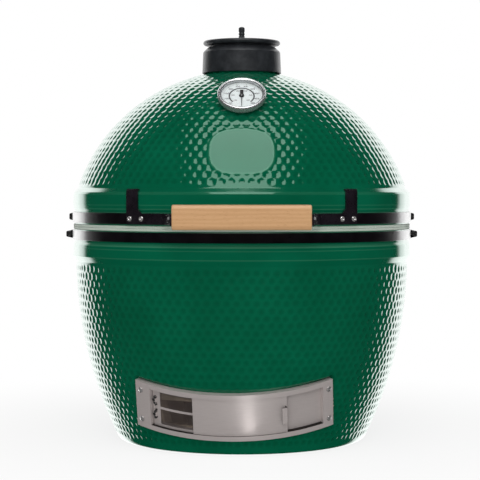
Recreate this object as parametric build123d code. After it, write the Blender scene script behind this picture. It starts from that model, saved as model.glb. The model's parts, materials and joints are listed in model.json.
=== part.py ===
from build123d import *
import os
from math import asin, cos, degrees, radians, sin, sqrt

# Kamado ceramic grill. Millimetres, +Z up, front of the grill towards -Y.
# The origin is the centre of the flat foot face. An azimuth is measured from
# the front (-Y) towards +X, so +90 is the right side and 180 the rear.

# --- driving dimensions ---------------------------------------------------
PARTING_Z = 433.0        # plane where the two felt gaskets meet
RUN = 0.3                # gap between faces that move past each other
SEAT = 0.2               # gap between a curved piece and the shell it is clamped on

# base shell
WALL_ARC_R = 827.0       # radius of the belly curve of the base
WALL_TOP_R = 337.5       # shell radius where that curve is vertical
WALL_TOP_Z = 370.0
SHELL_T = 26.0
FLOOR_T = 30.0
FOOT_ROUND = 16.0
RIM_R = 344.6            # smooth rims above and below the bands
BAND_SEAT_R = 341.6      # recessed land under each band
RIM_BORE_R = 308.0
BASE_TOP_Z = 428.0

# dome
DOME_R = 353.0
DOME_CENTRE_Z = 397.0
DOME_BOTTOM_Z = 438.0
DOME_T = 24.0
SHOULDER_Z = 500.0
NECK_R = 73.0
FLUE_R = 55.0
NECK_TOP_Z = 784.0

# bands, 3 mm strip in two halves bolted at the sides
BAND_T = 3.0
BAND_R = BAND_SEAT_R + SEAT
LOWER_BAND_Z = (407.0, 426.0)
UPPER_BAND_Z = (441.0, 462.0)
BAND_OUT_R = BAND_R + BAND_T
EAR_OUT_R = 359.0
EAR_GAP = 4.0            # half the gap between two band ears
EAR_TIP_R = 6.0
EAR_BOLT_REACH = 10.0    # clamp bolt's distance out from the band's inner face

# hinge
HINGE_Y = 380.0
HINGE_Z = PARTING_Z
PIN_R = 6.0
EAR_T = 5.0
BASE_EAR_X = 96.0        # inner face of the base ears
LID_EAR_X = 86.0
BOSS_R = 14.0
BRACKET_T = 4.0
BRACKET_R = BAND_OUT_R + SEAT
SPRING_R = 13.0          # mean radius of the torsion springs
SPRING_WIRE_R = 2.25
SPRING_X = (20.0, 74.0)
BASE_PLATE_Z = (404.0, 428.0)
BASE_SCREW_Z = 415.5
BASE_SCREW_AZ = (7.5, 13.0)
LID_SCREW_Z = 452.0
LID_SCREW_AZ = (3.0, 8.5)

# handle
GRIP_HALF = 126.5
GRIP_H = 46.0
GRIP_D = 32.0
GRIP_Y = -400.0
GRIP_Z = 456.0
STRAP_T = 3.5
TAB_AZ = (34.2, 38.7)
TAB_TOP_Z = 508.0
STRAP_BEND_AZ = 26.3

# vent cap
CAP_BOTTOM_Z = 744.0
CAP_BOTTOM_R = 80.5
CAP_SHOULDER_R = 78.7
CAP_SHOULDER_Z = 786.0
CAP_SEAT_Z = 800.6
CAP_VENT_R = 50.0
DISC_R = 78.4
DISC_Z = (801.0, 810.0)
PIVOT_Y = 58.0           # swing pivot of the vent disc, behind the flue
PIVOT_R = 3.0
DISC_WEB_T = 3.5         # floor of the disc, under the damper wheel
WHEEL_R = 47.0
WHEEL_T = 2.5
VENT_HOLES = 5
VENT_HOLE_R = 8.5
VENT_HOLE_PCD_R = 30.0
KNOB_TOP_Z = 839.0

# thermometer, on an axis that leans 47 degrees up from the horizontal
DIAL_ELEVATION = 47.0
DIAL_SITE = 52.5         # angle of its hole up the dome
CASE_R = 43.5
BEZEL_R = 46.5
STEM_LEN = 150.0

# draft door, built around an axis tilted like the wall it stands on
DOOR_TILT = 20.5
DOOR_TURN = -5.0
DOOR_FACE_R = 297.0      # nominal radius of the assembly's front
DOOR_FRONT_Y = -293.0
DOOR_MID_Z = 75.0
LAND_R = 284.5           # ceramic land under the frame
FRAME_AZ = (-38.2, 41.2)
TRACK_AZ = (-31.3, 36.7)
FRAME_HALF_H = 48.5
RAIL_IN = 38.5
RAIL_FLOOR = 46.0
SHEET_T = 1.5
DOOR_T = 1.2
SCREEN_R = 286.6         # inner face of the screen door
SOLID_R = 292.2          # inner face of the solid draft door
LIP_R = (294.0, 295.6)
DOOR_HALF_H = 45.4
SOLID_AZ = (-13.5, 22.0)
SCREEN_AZ = (-31.0, 4.0)
WINDOW_AZ = (-27.7, 1.0)
DRAFT_AZ = (-29.0, -1.0)
DRAFT_HALF_H = 31.0
DRAFT_HOLE_W = 126.0
DRAFT_HOLE_Z = (58.0, 104.0)

# fire box, ring and grids
BOX_TOP_Z = 322.0
BOX_RIM_R = (261.0, 283.0)
BOX_THROAT_R = 131.0     # bore of the bowl's foot, around the grate
BOX_FOOT_R = 190.0
BOX_SEGMENTS = 5
SEGMENT_GAP = 0.3        # degrees left open on each side of a bowl segment
LEDGE_R = 108.0
LEDGE_T = 22.0
SKIRT_R = (150.0, 172.0)
AIR_HOLE_Z = 215.0
AIR_HOLE_R = 9.0
FIRE_RING_R = (268.0, 292.0)
RING_TOP_Z = 408.0
GRATE_Z = 120.3
GRATE_R = 129.5
GRID_R = 297.0
GRID_T = 8.0
GRID_PITCH = 17.0


# --- helpers --------------------------------------------------------------
def write(shape, node):
    """Write one node, named as its file."""
    shape.label = node
    export_step(shape, f"parts/{node}.step")


def together(solids):
    """Separate solids of one node."""
    return Compound(children=list(solids))


def section(*lines):
    """Face in the XZ plane from (radius, height) lines."""
    return Plane.XZ * make_face(lines)


def outline(points):
    """Closed straight-sided section."""
    return section(Polyline(*points, close=True))


def turned(face, start=None, end=None):
    """Turn a section about Z, whole or from one azimuth to another."""
    if start is None:
        return revolve(face, Axis.Z, 360)
    return Rot(0, 0, start - 90) * revolve(face, Axis.Z, end - start)


def ring(r_in, r_out, z_low, z_high, start=None, end=None):
    """Ring or ring sector of rectangular section."""
    corners = [(r_in, z_low), (r_out, z_low), (r_out, z_high), (r_in, z_high)]
    return turned(outline(corners), start, end)


def rod(radius, start, end):
    """Round bar between two points."""
    axis = Vector(*end) - Vector(*start)
    plane = Plane(origin=start, z_dir=axis)
    return extrude(plane * Circle(radius), axis.length)


def bar_x(radius, x_low, x_high, y=HINGE_Y, z=HINGE_Z):
    """Round bar along X."""
    return rod(radius, (x_low, y, z), (x_high, y, z))


def hexagon_on(plane, across, height, bore=0.0):
    """Hexagon nut or bolt head standing on a plane."""
    face = RegularPolygon(across / sqrt(3), 6)
    if bore:
        face -= Circle(bore)
    return extrude(plane * face, height)


def wall_radius(z, inset=0.0):
    """Radius of the base's belly curve at a height."""
    arc = WALL_ARC_R - inset
    return WALL_TOP_R - WALL_ARC_R + sqrt(arc**2 - (WALL_TOP_Z - z) ** 2)


def wall_arc(z_from, z_to, inset=0.0):
    """The belly curve between two heights."""
    heights = (z_from, (z_from + z_to) / 2, z_to)
    return ThreePointArc(*[(wall_radius(z, inset), z) for z in heights])


def dome_height(r, inset=0.0):
    """Height of the dome's sphere at a radius."""
    return DOME_CENTRE_Z + sqrt((DOME_R - inset) ** 2 - r**2)


def dome_arc(r_from, r_to, inset=0.0):
    """The dome's curve between two radii."""
    radii = (r_from, (r_from + r_to) / 2, r_to)
    return ThreePointArc(*[(r, dome_height(r, inset)) for r in radii])


def at_azimuth(azimuth, radius, z):
    """Plane on a vertical cylinder whose normal points outwards."""
    a = radians(azimuth)
    normal = (sin(a), -cos(a), 0)
    spot = (radius * normal[0], radius * normal[1], z)
    return Plane(origin=spot, x_dir=(cos(a), sin(a), 0), z_dir=normal)


DOOR_SITE = (
    Rot(0, 0, DOOR_TURN)
    * Pos(
        0,
        DOOR_FRONT_Y + DOOR_FACE_R * cos(radians(DOOR_TILT)),
        DOOR_MID_Z + DOOR_FACE_R * sin(radians(DOOR_TILT)),
    )
    * Rot(DOOR_TILT, 0, 0)
)

DIAL_PLACE = Pos(
    0,
    -DOME_R * cos(radians(DIAL_SITE)),
    DOME_CENTRE_Z + DOME_R * sin(radians(DIAL_SITE)),
) * Rot(90 - DIAL_ELEVATION, 0, 0)


# --- ceramics -------------------------------------------------------------
def draft_passage(width, z_low, z_high, r_from, r_to):
    """Straight passage towards the draft door, for cutting."""
    azimuth = (DRAFT_AZ[0] + DRAFT_AZ[1]) / 2 + DOOR_TURN
    block = Box(width, r_to - r_from, z_high - z_low)
    return Rot(0, 0, azimuth) * Pos(0, -(r_from + r_to) / 2, (z_low + z_high) / 2) * block


def base_shell():
    """Belly, rim and floor, with a flat land and opening for the draft door."""
    bore_z = WALL_TOP_Z - 2
    inner_foot = wall_radius(FLOOR_T, SHELL_T)
    face = section(
        Line((0, 0), (wall_radius(0), 0)),
        wall_arc(0, 363),
        Polyline(
            (wall_radius(363), 363), (RIM_R - 1.5, 372.5), (RIM_R, 375), (RIM_R, 398),
            (RIM_R - 1, 400), (BAND_SEAT_R, 402), (BAND_SEAT_R, BASE_TOP_Z),
            (RIM_BORE_R, BASE_TOP_Z), (RIM_BORE_R, bore_z),
            (wall_radius(bore_z, SHELL_T), bore_z),
        ),
        wall_arc(bore_z, FLOOR_T, SHELL_T),
        Polyline((inner_foot, FLOOR_T), (0, FLOOR_T), (0, 0)),
    )
    shell = turned(face)
    foot_edge = shell.edges().filter_by(GeomType.CIRCLE).group_by(Axis.Z)[0]
    shell = fillet(foot_edge, FOOT_ROUND)
    margin = 1.5
    land_az = (FRAME_AZ[0] - margin / 5, FRAME_AZ[1] + margin / 5)
    land_h = FRAME_HALF_H + margin
    raised = ring(270, LAND_R, -land_h, land_h, *land_az)
    removed = ring(LAND_R, 340, -land_h, land_h, *land_az)
    shell = shell + DOOR_SITE * raised - DOOR_SITE * removed
    shell -= draft_passage(DRAFT_HOLE_W, *DRAFT_HOLE_Z, 215, 310)
    for plane in draft_screw_planes(LAND_R):
        shell -= extrude(plane * Circle(4.2), -16)
    return shell


def dome_shell():
    """Dome with a thick rim, a flue neck and a hole for the thermometer."""
    bore_z = dome_height(RIM_BORE_R, DOME_T)
    shoulder_r = sqrt(DOME_R**2 - (SHOULDER_Z + 10 - DOME_CENTRE_Z) ** 2)
    face = section(
        Polyline(
            (RIM_BORE_R, bore_z), (RIM_BORE_R, DOME_BOTTOM_Z), (BAND_SEAT_R, DOME_BOTTOM_Z),
            (BAND_SEAT_R, 463.5), (RIM_R - 1, 465.5), (RIM_R, 468), (RIM_R, SHOULDER_Z - 2),
            (RIM_R - 1.5, SHOULDER_Z + 1.5), (shoulder_r, SHOULDER_Z + 10),
        ),
        dome_arc(shoulder_r, NECK_R),
        Polyline(
            (NECK_R, dome_height(NECK_R)), (NECK_R, NECK_TOP_Z), (FLUE_R, NECK_TOP_Z),
            (FLUE_R, dome_height(FLUE_R, DOME_T)),
        ),
        dome_arc(FLUE_R, RIM_BORE_R, DOME_T),
    )
    hole = rod(6.5, (0, 0, -60), (0, 0, 20))
    return turned(face) - DIAL_PLACE * hole


def fire_box_base():
    """Ring under the bowl: ledge for the grate, ash chamber below, open towards the draft door."""
    foot_z = FLOOR_T + 0.5
    top_z = GRATE_Z - RUN
    ledge_z = top_z - LEDGE_T
    face = outline([
        (LEDGE_R, top_z), (LEDGE_R, ledge_z), (SKIRT_R[0], ledge_z), (SKIRT_R[0], foot_z),
        (SKIRT_R[1], foot_z), (SKIRT_R[1], ledge_z - 8), (BOX_FOOT_R, top_z),
    ])
    return turned(face) - draft_passage(DRAFT_HOLE_W + 4, 20, 88, 110, 200)


def fire_box_segment(number):
    """One of the wedges that make the charcoal bowl, with two air holes."""
    middle = (number - 1) * 360 / BOX_SEGMENTS
    half = 180 / BOX_SEGMENTS - SEGMENT_GAP
    low_z = GRATE_Z - RUN
    face = section(
        Line((BOX_THROAT_R, low_z), (BOX_FOOT_R, low_z)),
        ThreePointArc((BOX_FOOT_R, low_z), (243, 196), (BOX_RIM_R[1], BOX_TOP_Z)),
        Line((BOX_RIM_R[1], BOX_TOP_Z), (BOX_RIM_R[0], BOX_TOP_Z)),
        ThreePointArc((BOX_RIM_R[0], BOX_TOP_Z), (219, 201), (BOX_THROAT_R, low_z + 15)),
        Line((BOX_THROAT_R, low_z + 15), (BOX_THROAT_R, low_z)),
    )
    segment = turned(face, middle - half, middle + half)
    for side in (-1, 1):
        spot = Rot(0, 0, middle + side * half / 2) * Pos(0, -240, AIR_HOLE_Z)
        segment -= spot * Rot(90, 0, 0) * Cylinder(AIR_HOLE_R, 90)
    return segment


def fire_ring():
    """Ring on the fire box that carries the cooking grid."""
    return ring(*FIRE_RING_R, BOX_TOP_Z + RUN, RING_TOP_Z)


def fire_grate():
    """Cast grate with rows of slots, on the fire box's ledge."""
    face = Circle(GRATE_R)
    slot = SlotOverall(46, 9, 90)
    for x in range(-100, 101, 20):
        reach = sqrt((GRATE_R - 14) ** 2 - x**2)
        count = max(1, int(2 * reach / 56))
        for row in range(count):
            face -= Pos(x, (row - (count - 1) / 2) * 56) * slot
    return extrude(Pos(0, 0, GRATE_Z) * face, 10)


def cooking_grid():
    """Round grid of straight bars in a ring, with two cross bars."""
    face = Circle(GRID_R) - Circle(GRID_R - 8)
    count = int((GRID_R - 12) / GRID_PITCH)
    for step in range(-count, count + 1):
        x = step * GRID_PITCH
        face += Pos(x, 0) * Rectangle(5, 2 * sqrt((GRID_R - 3) ** 2 - x**2))
    for y in (-140, 140):
        face += Pos(0, y) * Rectangle(2 * sqrt((GRID_R - 3) ** 2 - y**2), 7)
    return extrude(Pos(0, 0, RING_TOP_Z + 0.3) * face, GRID_T)


def drilled(plate, planes):
    """A plate or band with 6 mm clearance holes through it."""
    for plane in planes:
        plate -= extrude(plane * Circle(3.1), -12)
    return plate


# --- bands ----------------------------------------------------------------
def band_ears(z_low, z_high, split_az, side):
    """Two out-turned ears, one on each side of the split line."""
    bolt_x = BAND_R + EAR_BOLT_REACH
    middle_z = (z_low + z_high) / 2
    tip = Pos(EAR_OUT_R - EAR_TIP_R, middle_z) * Circle(EAR_TIP_R)
    root = Line((BAND_R, z_low), (BAND_R, z_high))
    face_shape = make_hull(tip.edges() + root.edges())
    hole = rod(3.3, (bolt_x, -30, middle_z), (bolt_x, 30, middle_z))
    ears = []
    for face in (-1, 1):
        back_y = face * (EAR_GAP + BAND_T / 2) + BAND_T / 2
        plane = Plane(origin=(0, back_y, 0), x_dir=(1, 0, 0), z_dir=(0, -1, 0))
        ear = extrude(plane * face_shape, BAND_T) - hole
        ears.append(Rot(0, 0, split_az - 90) * ear)
    return [ear if side > 0 else mirror(ear, Plane.YZ) for ear in ears]


def band_halves(z_range, split_az):
    """Front and rear half of a band."""
    gap = degrees(asin(EAR_GAP / BAND_R))
    front = ring(BAND_R, BAND_OUT_R, *z_range, -split_az + gap, split_az - gap)
    rear = ring(BAND_R, BAND_OUT_R, *z_range, split_az + gap, 360 - split_az - gap)
    for side in (-1, 1):
        front_ear, rear_ear = band_ears(*z_range, split_az, side)
        front += front_ear
        rear += rear_ear
    return front, rear


def band_fasteners(z_range, split_az):
    """Clamp bolts and nuts through the ears on both sides."""
    z = sum(z_range) / 2
    x = BAND_R + EAR_BOLT_REACH
    face_y = EAR_GAP + BAND_T
    bolt = rod(3, (x, -face_y, z), (x, face_y + 8, z))
    bolt += hexagon_on(Plane(origin=(x, -face_y, z), z_dir=(0, -1, 0)), 10, 4)
    nut = hexagon_on(Plane(origin=(x, face_y, z), z_dir=(0, 1, 0)), 10, 5, 3.05)
    bolts, nuts = [], []
    for group, piece in ((bolts, bolt), (nuts, nut)):
        right = Rot(0, 0, split_az - 90) * piece
        group += [right, mirror(right, Plane.YZ)]
    return bolts, nuts


# --- hinge ----------------------------------------------------------------
def pan_screw(plane, head_r, head_h, shank_r, shank_len):
    """Pan-head screw: head above the plane, shank below it."""
    head = extrude(plane * Circle(head_r), head_h)
    top = head.faces().sort_by(lambda f: (f.center() - plane.origin).dot(plane.z_dir))[-1]
    head = fillet(top.edges(), head_h * 0.45)
    return head + extrude(plane * Circle(shank_r), -shank_len)


def hinge_ear(x_low, foot_y, foot_z, bore):
    """Ear from a curved bracket plate to the boss around the pin."""
    boss = Pos(HINGE_Y, HINGE_Z) * Circle(BOSS_R)
    foot = Line((foot_y, foot_z[0]), (foot_y, foot_z[1]))
    face = make_hull(boss.edges() + foot.edges()) - Pos(HINGE_Y, HINGE_Z) * Circle(bore)
    return extrude(Plane(origin=(x_low, 0, 0), x_dir=(0, 1, 0), z_dir=(1, 0, 0)) * face, EAR_T)


def bracket_screw_planes(z, spread):
    """Places of the four screws of a hinge bracket, at two angles each side of the rear."""
    outer = BRACKET_R + BRACKET_T
    return [at_azimuth(180 + side * az, outer, z) for side in (-1, 1) for az in spread]


def hinge_bracket(z_range, half_az, ear_x, foot_y, bore, screw_planes):
    """Curved plate on a band with a pair of ears."""
    plate = ring(BRACKET_R, BRACKET_R + BRACKET_T, *z_range, 180 - half_az, 180 + half_az)
    foot_z = (z_range[0] + 0.5, z_range[1] - 0.5)
    bracket = plate + hinge_ear(ear_x, foot_y, foot_z, bore)
    bracket += hinge_ear(-ear_x - EAR_T, foot_y, foot_z, bore)
    return drilled(bracket, screw_planes)


def hinge_screws(planes):
    """Screws through a hinge bracket and its band."""
    return [pan_screw(plane, 5.5, 3.2, 3, BRACKET_T + BAND_T + SEAT) for plane in planes]


def hinge_bush(side):
    """Flanged bush pressed into one lid ear."""
    inner, outer = PIN_R + 0.05, 8.0
    sleeve = bar_x(outer, LID_EAR_X, LID_EAR_X + EAR_T) + bar_x(11, LID_EAR_X + EAR_T, BASE_EAR_X - 0.5)
    sleeve -= bar_x(inner, LID_EAR_X - 1, BASE_EAR_X)
    return sleeve if side > 0 else mirror(sleeve, Plane.YZ)


def torsion_spring(side):
    """Close-wound spring around the pin with a leg to each bracket plate."""
    turns = int((SPRING_X[1] - SPRING_X[0]) / (2 * SPRING_WIRE_R))
    coil = None
    for turn in range(turns):
        x = SPRING_X[0] + (2 * turn + 1) * SPRING_WIRE_R
        wire = Plane.XZ * Pos(x, SPRING_R) * Circle(SPRING_WIRE_R + 0.12)
        hoop = Pos(0, HINGE_Y, HINGE_Z) * revolve(wire, Axis.X, 360)
        coil = hoop if coil is None else coil + hoop
    plate_y = BRACKET_R + BRACKET_T
    low = rod(SPRING_WIRE_R, (SPRING_X[0] + 2.5, HINGE_Y - 9, HINGE_Z - 9.4), (SPRING_X[0] + 2.5, plate_y, 417))
    x_lid = SPRING_X[1] - 4
    lid_y = sqrt(plate_y**2 - x_lid**2) + 1.6
    high = rod(SPRING_WIRE_R, (x_lid, HINGE_Y - 9, HINGE_Z + 9.4), (x_lid, lid_y, 452))
    spring = coil + low + high
    return spring if side > 0 else mirror(spring, Plane.YZ)


# --- handle ---------------------------------------------------------------
def handle_bracket():
    """Right bracket: strap on the band, tab up the rim and arm to the grip."""
    r_in = RIM_R + 0.5
    r_out = r_in + STRAP_T
    z_low, z_high = UPPER_BAND_Z
    mid_az = sum(TAB_AZ) / 2
    half_w = r_in * sin(radians(TAB_AZ[1] - TAB_AZ[0]) / 2)
    reach = r_in * sin(radians(mid_az - STRAP_BEND_AZ))
    plan = Polygon(
        (-reach - 4, z_low), (half_w, z_low), (half_w, SHOULDER_Z), (-half_w, SHOULDER_Z),
        (-half_w, z_high + 8), (-half_w - 8, z_high), (-reach - 4, z_high), align=None,
    )
    face_plane = at_azimuth(mid_az, 0, 0)
    blank = ring(r_in, r_out, z_low, TAB_TOP_Z, STRAP_BEND_AZ, TAB_AZ[1])
    strap = extrude(face_plane * plan, 400) & blank
    lip = outline([
        (r_in, SHOULDER_Z - 3), (r_out, SHOULDER_Z - 3), (r_out, TAB_TOP_Z - STRAP_T),
        (r_out - 3, TAB_TOP_Z), (r_in - 4, TAB_TOP_Z), (r_in - 4, TAB_TOP_Z - STRAP_T),
        (r_in, TAB_TOP_Z - STRAP_T),
    ])
    bracket = strap + turned(lip, *TAB_AZ)
    middle = (r_in + r_out) / 2
    a = radians(STRAP_BEND_AZ)
    start = Vector(middle * sin(a), -middle * cos(a))
    along = Vector(-cos(a), -sin(a))
    pad_x = GRIP_HALF + STRAP_T / 2
    path = FilletPolyline(
        (start.X, start.Y), (start.X + 8 * along.X, start.Y + 8 * along.Y),
        (pad_x, -384), (pad_x, GRIP_Y - 13), radius=6,
    )
    height = z_high - z_low
    centre_z = (z_low + z_high) / 2
    path = Pos(0, 0, centre_z) * path
    profile_plane = Plane(origin=path @ 0, x_dir=(0, 0, 1), z_dir=path % 0)
    arm = sweep(profile_plane * Rectangle(height, STRAP_T), path=path)
    bracket += arm
    bracket = drilled(bracket, handle_screw_planes())
    return bracket - rod(3.2, (GRIP_HALF - 5, GRIP_Y, centre_z), (GRIP_HALF + 10, GRIP_Y, centre_z))


def mirrored(plane):
    """The same place on the other side of the grill."""
    spot, normal = plane.origin, plane.z_dir
    return Plane(origin=(-spot.X, spot.Y, spot.Z), z_dir=(-normal.X, normal.Y, normal.Z))


def handle_screw_planes():
    """Places of the right bracket's two screws."""
    z = sum(UPPER_BAND_Z) / 2
    return [at_azimuth(az, RIM_R + 0.5 + STRAP_T, z) for az in (32.7, 37.2)]


def handle_grip():
    """Hardwood bar with rounded edges and bored ends."""
    grip = Pos(0, GRIP_Y, GRIP_Z) * Box(2 * GRIP_HALF, GRIP_D, GRIP_H)
    grip = fillet(grip.edges().filter_by(Axis.X), 9)
    ends = grip.faces().filter_by(Axis.X)
    grip = fillet([edge for end in ends for edge in end.edges()], 2.5)
    z = sum(UPPER_BAND_Z) / 2
    for side in (-1, 1):
        grip -= rod(3, (side * (GRIP_HALF - 42), GRIP_Y, z), (side * (GRIP_HALF + 2), GRIP_Y, z))
    return grip


def lag_screw(side):
    """Hexagon lag screw into one end of the grip."""
    z = sum(UPPER_BAND_Z) / 2
    face = GRIP_HALF + STRAP_T
    screw = rod(3, (GRIP_HALF - 40, GRIP_Y, z), (face, GRIP_Y, z))
    screw += hexagon_on(Plane(origin=(face, GRIP_Y, z), z_dir=(1, 0, 0)), 11, 4.5)
    return screw if side > 0 else mirror(screw, Plane.YZ)


# --- vent cap -------------------------------------------------------------
def cap_body():
    """Cast cap over the flue neck, with a seat for the vent disc."""
    face = outline([
        (CAP_BOTTOM_R - 3.5, CAP_BOTTOM_Z), (CAP_BOTTOM_R, CAP_BOTTOM_Z),
        (CAP_SHOULDER_R, CAP_SHOULDER_Z), (CAP_SHOULDER_R - 2, CAP_SHOULDER_Z + 3),
        (68, 797), (64.5, 797), (63.7, 798), (63.7, CAP_SEAT_Z), (CAP_VENT_R, CAP_SEAT_Z),
        (CAP_VENT_R, 790), (62, 790), (66, NECK_TOP_Z + RUN + 0.1), (CAP_BOTTOM_R - 3.5, NECK_TOP_Z + RUN + 0.1),
    ])
    tapped = rod(PIVOT_R + 0.05, (0, PIVOT_Y, 780), (0, PIVOT_Y, 810))
    return turned(face) - tapped


def cap_pivot_screw():
    """Shoulder screw that the vent disc swings on."""
    shank = rod(PIVOT_R, (0, PIVOT_Y, 791), (0, PIVOT_Y, DISC_Z[1] - 0.5))
    head = pan_screw(Plane(origin=(0, PIVOT_Y, DISC_Z[1] - 0.7), z_dir=(0, 0, 1)), 5.5, 3, PIVOT_R, 1)
    return shank + head


def vent_holes(phase):
    """Ring of vent holes, for cutting."""
    spots = PolarLocations(VENT_HOLE_PCD_R, VENT_HOLES, start_angle=phase)
    return [spot * Cylinder(VENT_HOLE_R, 60) for spot in spots]


def cap_disc():
    """Swinging disc: raised rounded rim, vent holes and a recess for the wheel."""
    low, high = DISC_Z
    floor = low + DISC_WEB_T
    recess = WHEEL_R + 1.5
    rim = (high - low) / 2
    face = section(
        Line((0, low), (DISC_R - rim, low)),
        ThreePointArc((DISC_R - rim, low), (DISC_R, low + rim), (DISC_R - rim, high)),
        Polyline(
            (DISC_R - rim, high), (70, high + 0.6), (66, high - 1), (recess + 1, high - 1),
            (recess, high - 2), (recess, floor), (0, floor), (0, low),
        ),
    )
    disc = turned(face)
    for hole in vent_holes(90):
        disc -= Pos(0, 0, low) * hole
    disc -= rod(PIVOT_R + 0.06, (0, PIVOT_Y, 780), (0, PIVOT_Y, 830))
    return disc - rod(4.05, (0, 0, 780), (0, 0, 830))


def daisy_wheel():
    """Damper wheel with petals between its holes and a small finger tab."""
    low = DISC_Z[0] + DISC_WEB_T + RUN
    wheel = Pos(0, 0, low) * extrude(Circle(WHEEL_R), WHEEL_T)
    for hole in vent_holes(90 + 180 / VENT_HOLES):
        wheel -= Pos(0, 0, low) * hole
    tab = Pos(0, -(WHEEL_R - 4), low + 4.2) * Box(9, 2.5, 3.8)
    wheel += tab
    return wheel - rod(4.07, (0, 0, 780), (0, 0, 830))


def cap_knob():
    """Centre knob: shank through wheel and disc, collar and ridged grip."""
    wheel_top = DISC_Z[0] + DISC_WEB_T + RUN + WHEEL_T + RUN
    shank_low = DISC_Z[0] + 0.5
    grip = section(
        Polyline(
            (9, wheel_top), (9, wheel_top + 2), (6.25, wheel_top + 3.5),
            (6.25, 815), (5.7, 816), (6.25, 817), (6.25, 820), (5.7, 821), (6.25, 822),
            (6.25, 825), (5.7, 826), (6.25, 827), (6.25, KNOB_TOP_Z - 4),
        ),
        ThreePointArc((6.25, KNOB_TOP_Z - 4), (5.1, KNOB_TOP_Z - 1.2), (2.5, KNOB_TOP_Z)),
        Polyline(
            (2.5, KNOB_TOP_Z), (0, KNOB_TOP_Z), (0, shank_low), (4, shank_low), (4, wheel_top),
            (9, wheel_top),
        ),
    )
    return turned(grip)


# --- thermometer ----------------------------------------------------------
def thermometer_case():
    """Cup with a hub that stands on the dome."""
    face = outline([
        (6.1, 1.1), (10, 1.1), (10, 5), (CASE_R - 1, 5), (CASE_R, 6), (CASE_R, 17),
        (CASE_R - 2, 17), (CASE_R - 2, 10), (37, 10), (37, 7), (6.1, 7),
    ])
    return turned(face)


def thermometer_bezel():
    """Bright rim rolled over the lens."""
    face = section(
        Polyline(
            (39.8, 18.4), (CASE_R + 0.2, 18.4), (CASE_R + 0.2, 10), (BEZEL_R - 0.4, 10),
            (BEZEL_R, 10.6), (BEZEL_R, 16.5),
        ),
        ThreePointArc((BEZEL_R, 16.5), (BEZEL_R - 1.2, 19.2), (BEZEL_R - 3.5, 20.2)),
        Polyline((BEZEL_R - 3.5, 20.2), (41, 20.0), (39.8, 19.2), (39.8, 18.4)),
    )
    return turned(face)


def thermometer_pointer():
    """Pointer towards the dial's foot with a broad tail the other way."""
    blade = Polygon((-1.0, 3), (1.0, 3), (0.5, 31), (-0.5, 31), align=None)
    tail = Polygon((-3.2, 3), (3.2, 3), (3.6, 17), (-3.6, 17), align=None)
    face = Circle(5) + Rot(0, 0, 180) * blade + tail
    pointer = extrude(Pos(0, 0, 12.2) * face, 1.0) + extrude(Pos(0, 0, 11.6) * Circle(4), 2.6)
    return pointer - rod(1.56, (0, 0, 5), (0, 0, 20))


def thermometer_stem():
    """Threaded boss through the dome, probe below it and spindle above."""
    boss = rod(6, (0, 0, -37), (0, 0, 6.9))
    probe = rod(3, (0, 0, -STEM_LEN), (0, 0, -36))
    tip = probe.faces().sort_by(Axis.Z)[0]
    probe = fillet(tip.edges(), 2)
    return boss + probe + rod(1.5, (0, 0, 6), (0, 0, 14.6))


def thermometer_parts():
    """All thermometer nodes, around the dial axis."""
    nut = hexagon_on(Plane.XY, 20, 7, 6.1)
    return {
        "thermometer_case": thermometer_case(),
        "thermometer_bezel": thermometer_bezel(),
        "thermometer_dial": ring(1.9, CASE_R - 2.3, 10.1, 11.1),
        "thermometer_pointer": thermometer_pointer(),
        "thermometer_lens": extrude(Pos(0, 0, 17.1) * Circle(CASE_R - 0.3), 1.1),
        "thermometer_stem": thermometer_stem(),
        "thermometer_nut": Pos(0, 0, -36.3) * nut,
    }


# --- draft door -----------------------------------------------------------
def draft_screw_planes(radius):
    """Places of the frame's four screws, two at each end."""
    planes = []
    for azimuth, half in ((-35.6, 31), (39.2, 31)):
        for z in (-half, half):
            a = radians(azimuth)
            normal = (sin(a), -cos(a), 0)
            spot = (radius * normal[0], radius * normal[1], z)
            local = Plane(origin=spot, x_dir=(cos(a), sin(a), 0), z_dir=normal)
            planes.append(Plane(DOOR_SITE * local.location))
    return planes


def draft_frame():
    """Back sheet, two channel rails and two box ends of folded steel."""
    back = LAND_R + 0.1
    low, high = LIP_R
    frame = ring(back, back + SHEET_T, -FRAME_HALF_H, FRAME_HALF_H, *FRAME_AZ)
    frame -= ring(back - 5, back + 5, -DRAFT_HALF_H, DRAFT_HALF_H, *DRAFT_AZ)
    for side in (-1, 1):
        spans = sorted((side * RAIL_FLOOR, side * FRAME_HALF_H))
        frame += ring(back, high, *spans, *FRAME_AZ)
        spans = sorted((side * RAIL_IN, side * FRAME_HALF_H))
        frame += ring(low, high, *spans, *FRAME_AZ)
        frame += ring(289.5, 290.7, *spans, *TRACK_AZ)
    wall = 0.35
    for outer, inner in (FRAME_AZ[0], TRACK_AZ[0]), (FRAME_AZ[1], TRACK_AZ[1]):
        start, end = sorted((outer, inner))
        frame += ring(low, high, -FRAME_HALF_H, FRAME_HALF_H, start, end)
        frame += ring(back, high, -FRAME_HALF_H, FRAME_HALF_H, start, start + wall)
        frame += ring(back, high, -FRAME_HALF_H, FRAME_HALF_H, end - wall, end)
    frame = DOOR_SITE * frame
    for plane in draft_screw_planes(high):
        frame -= extrude(plane * Circle(3.2), -20)
    return frame


def draft_door():
    """Solid sliding door with a folded finger pull near its right edge."""
    outer = SOLID_R + DOOR_T
    door = ring(SOLID_R, outer, -DOOR_HALF_H, DOOR_HALF_H, *SOLID_AZ)
    edge = SOLID_AZ[1] - 0.4
    pull = ring(outer - 0.2, outer + 8, -17, 17, edge - 0.3, edge)
    pull += ring(outer + 6.8, outer + 8, -17, 17, edge - 1.9, edge)
    return door + pull


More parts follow.
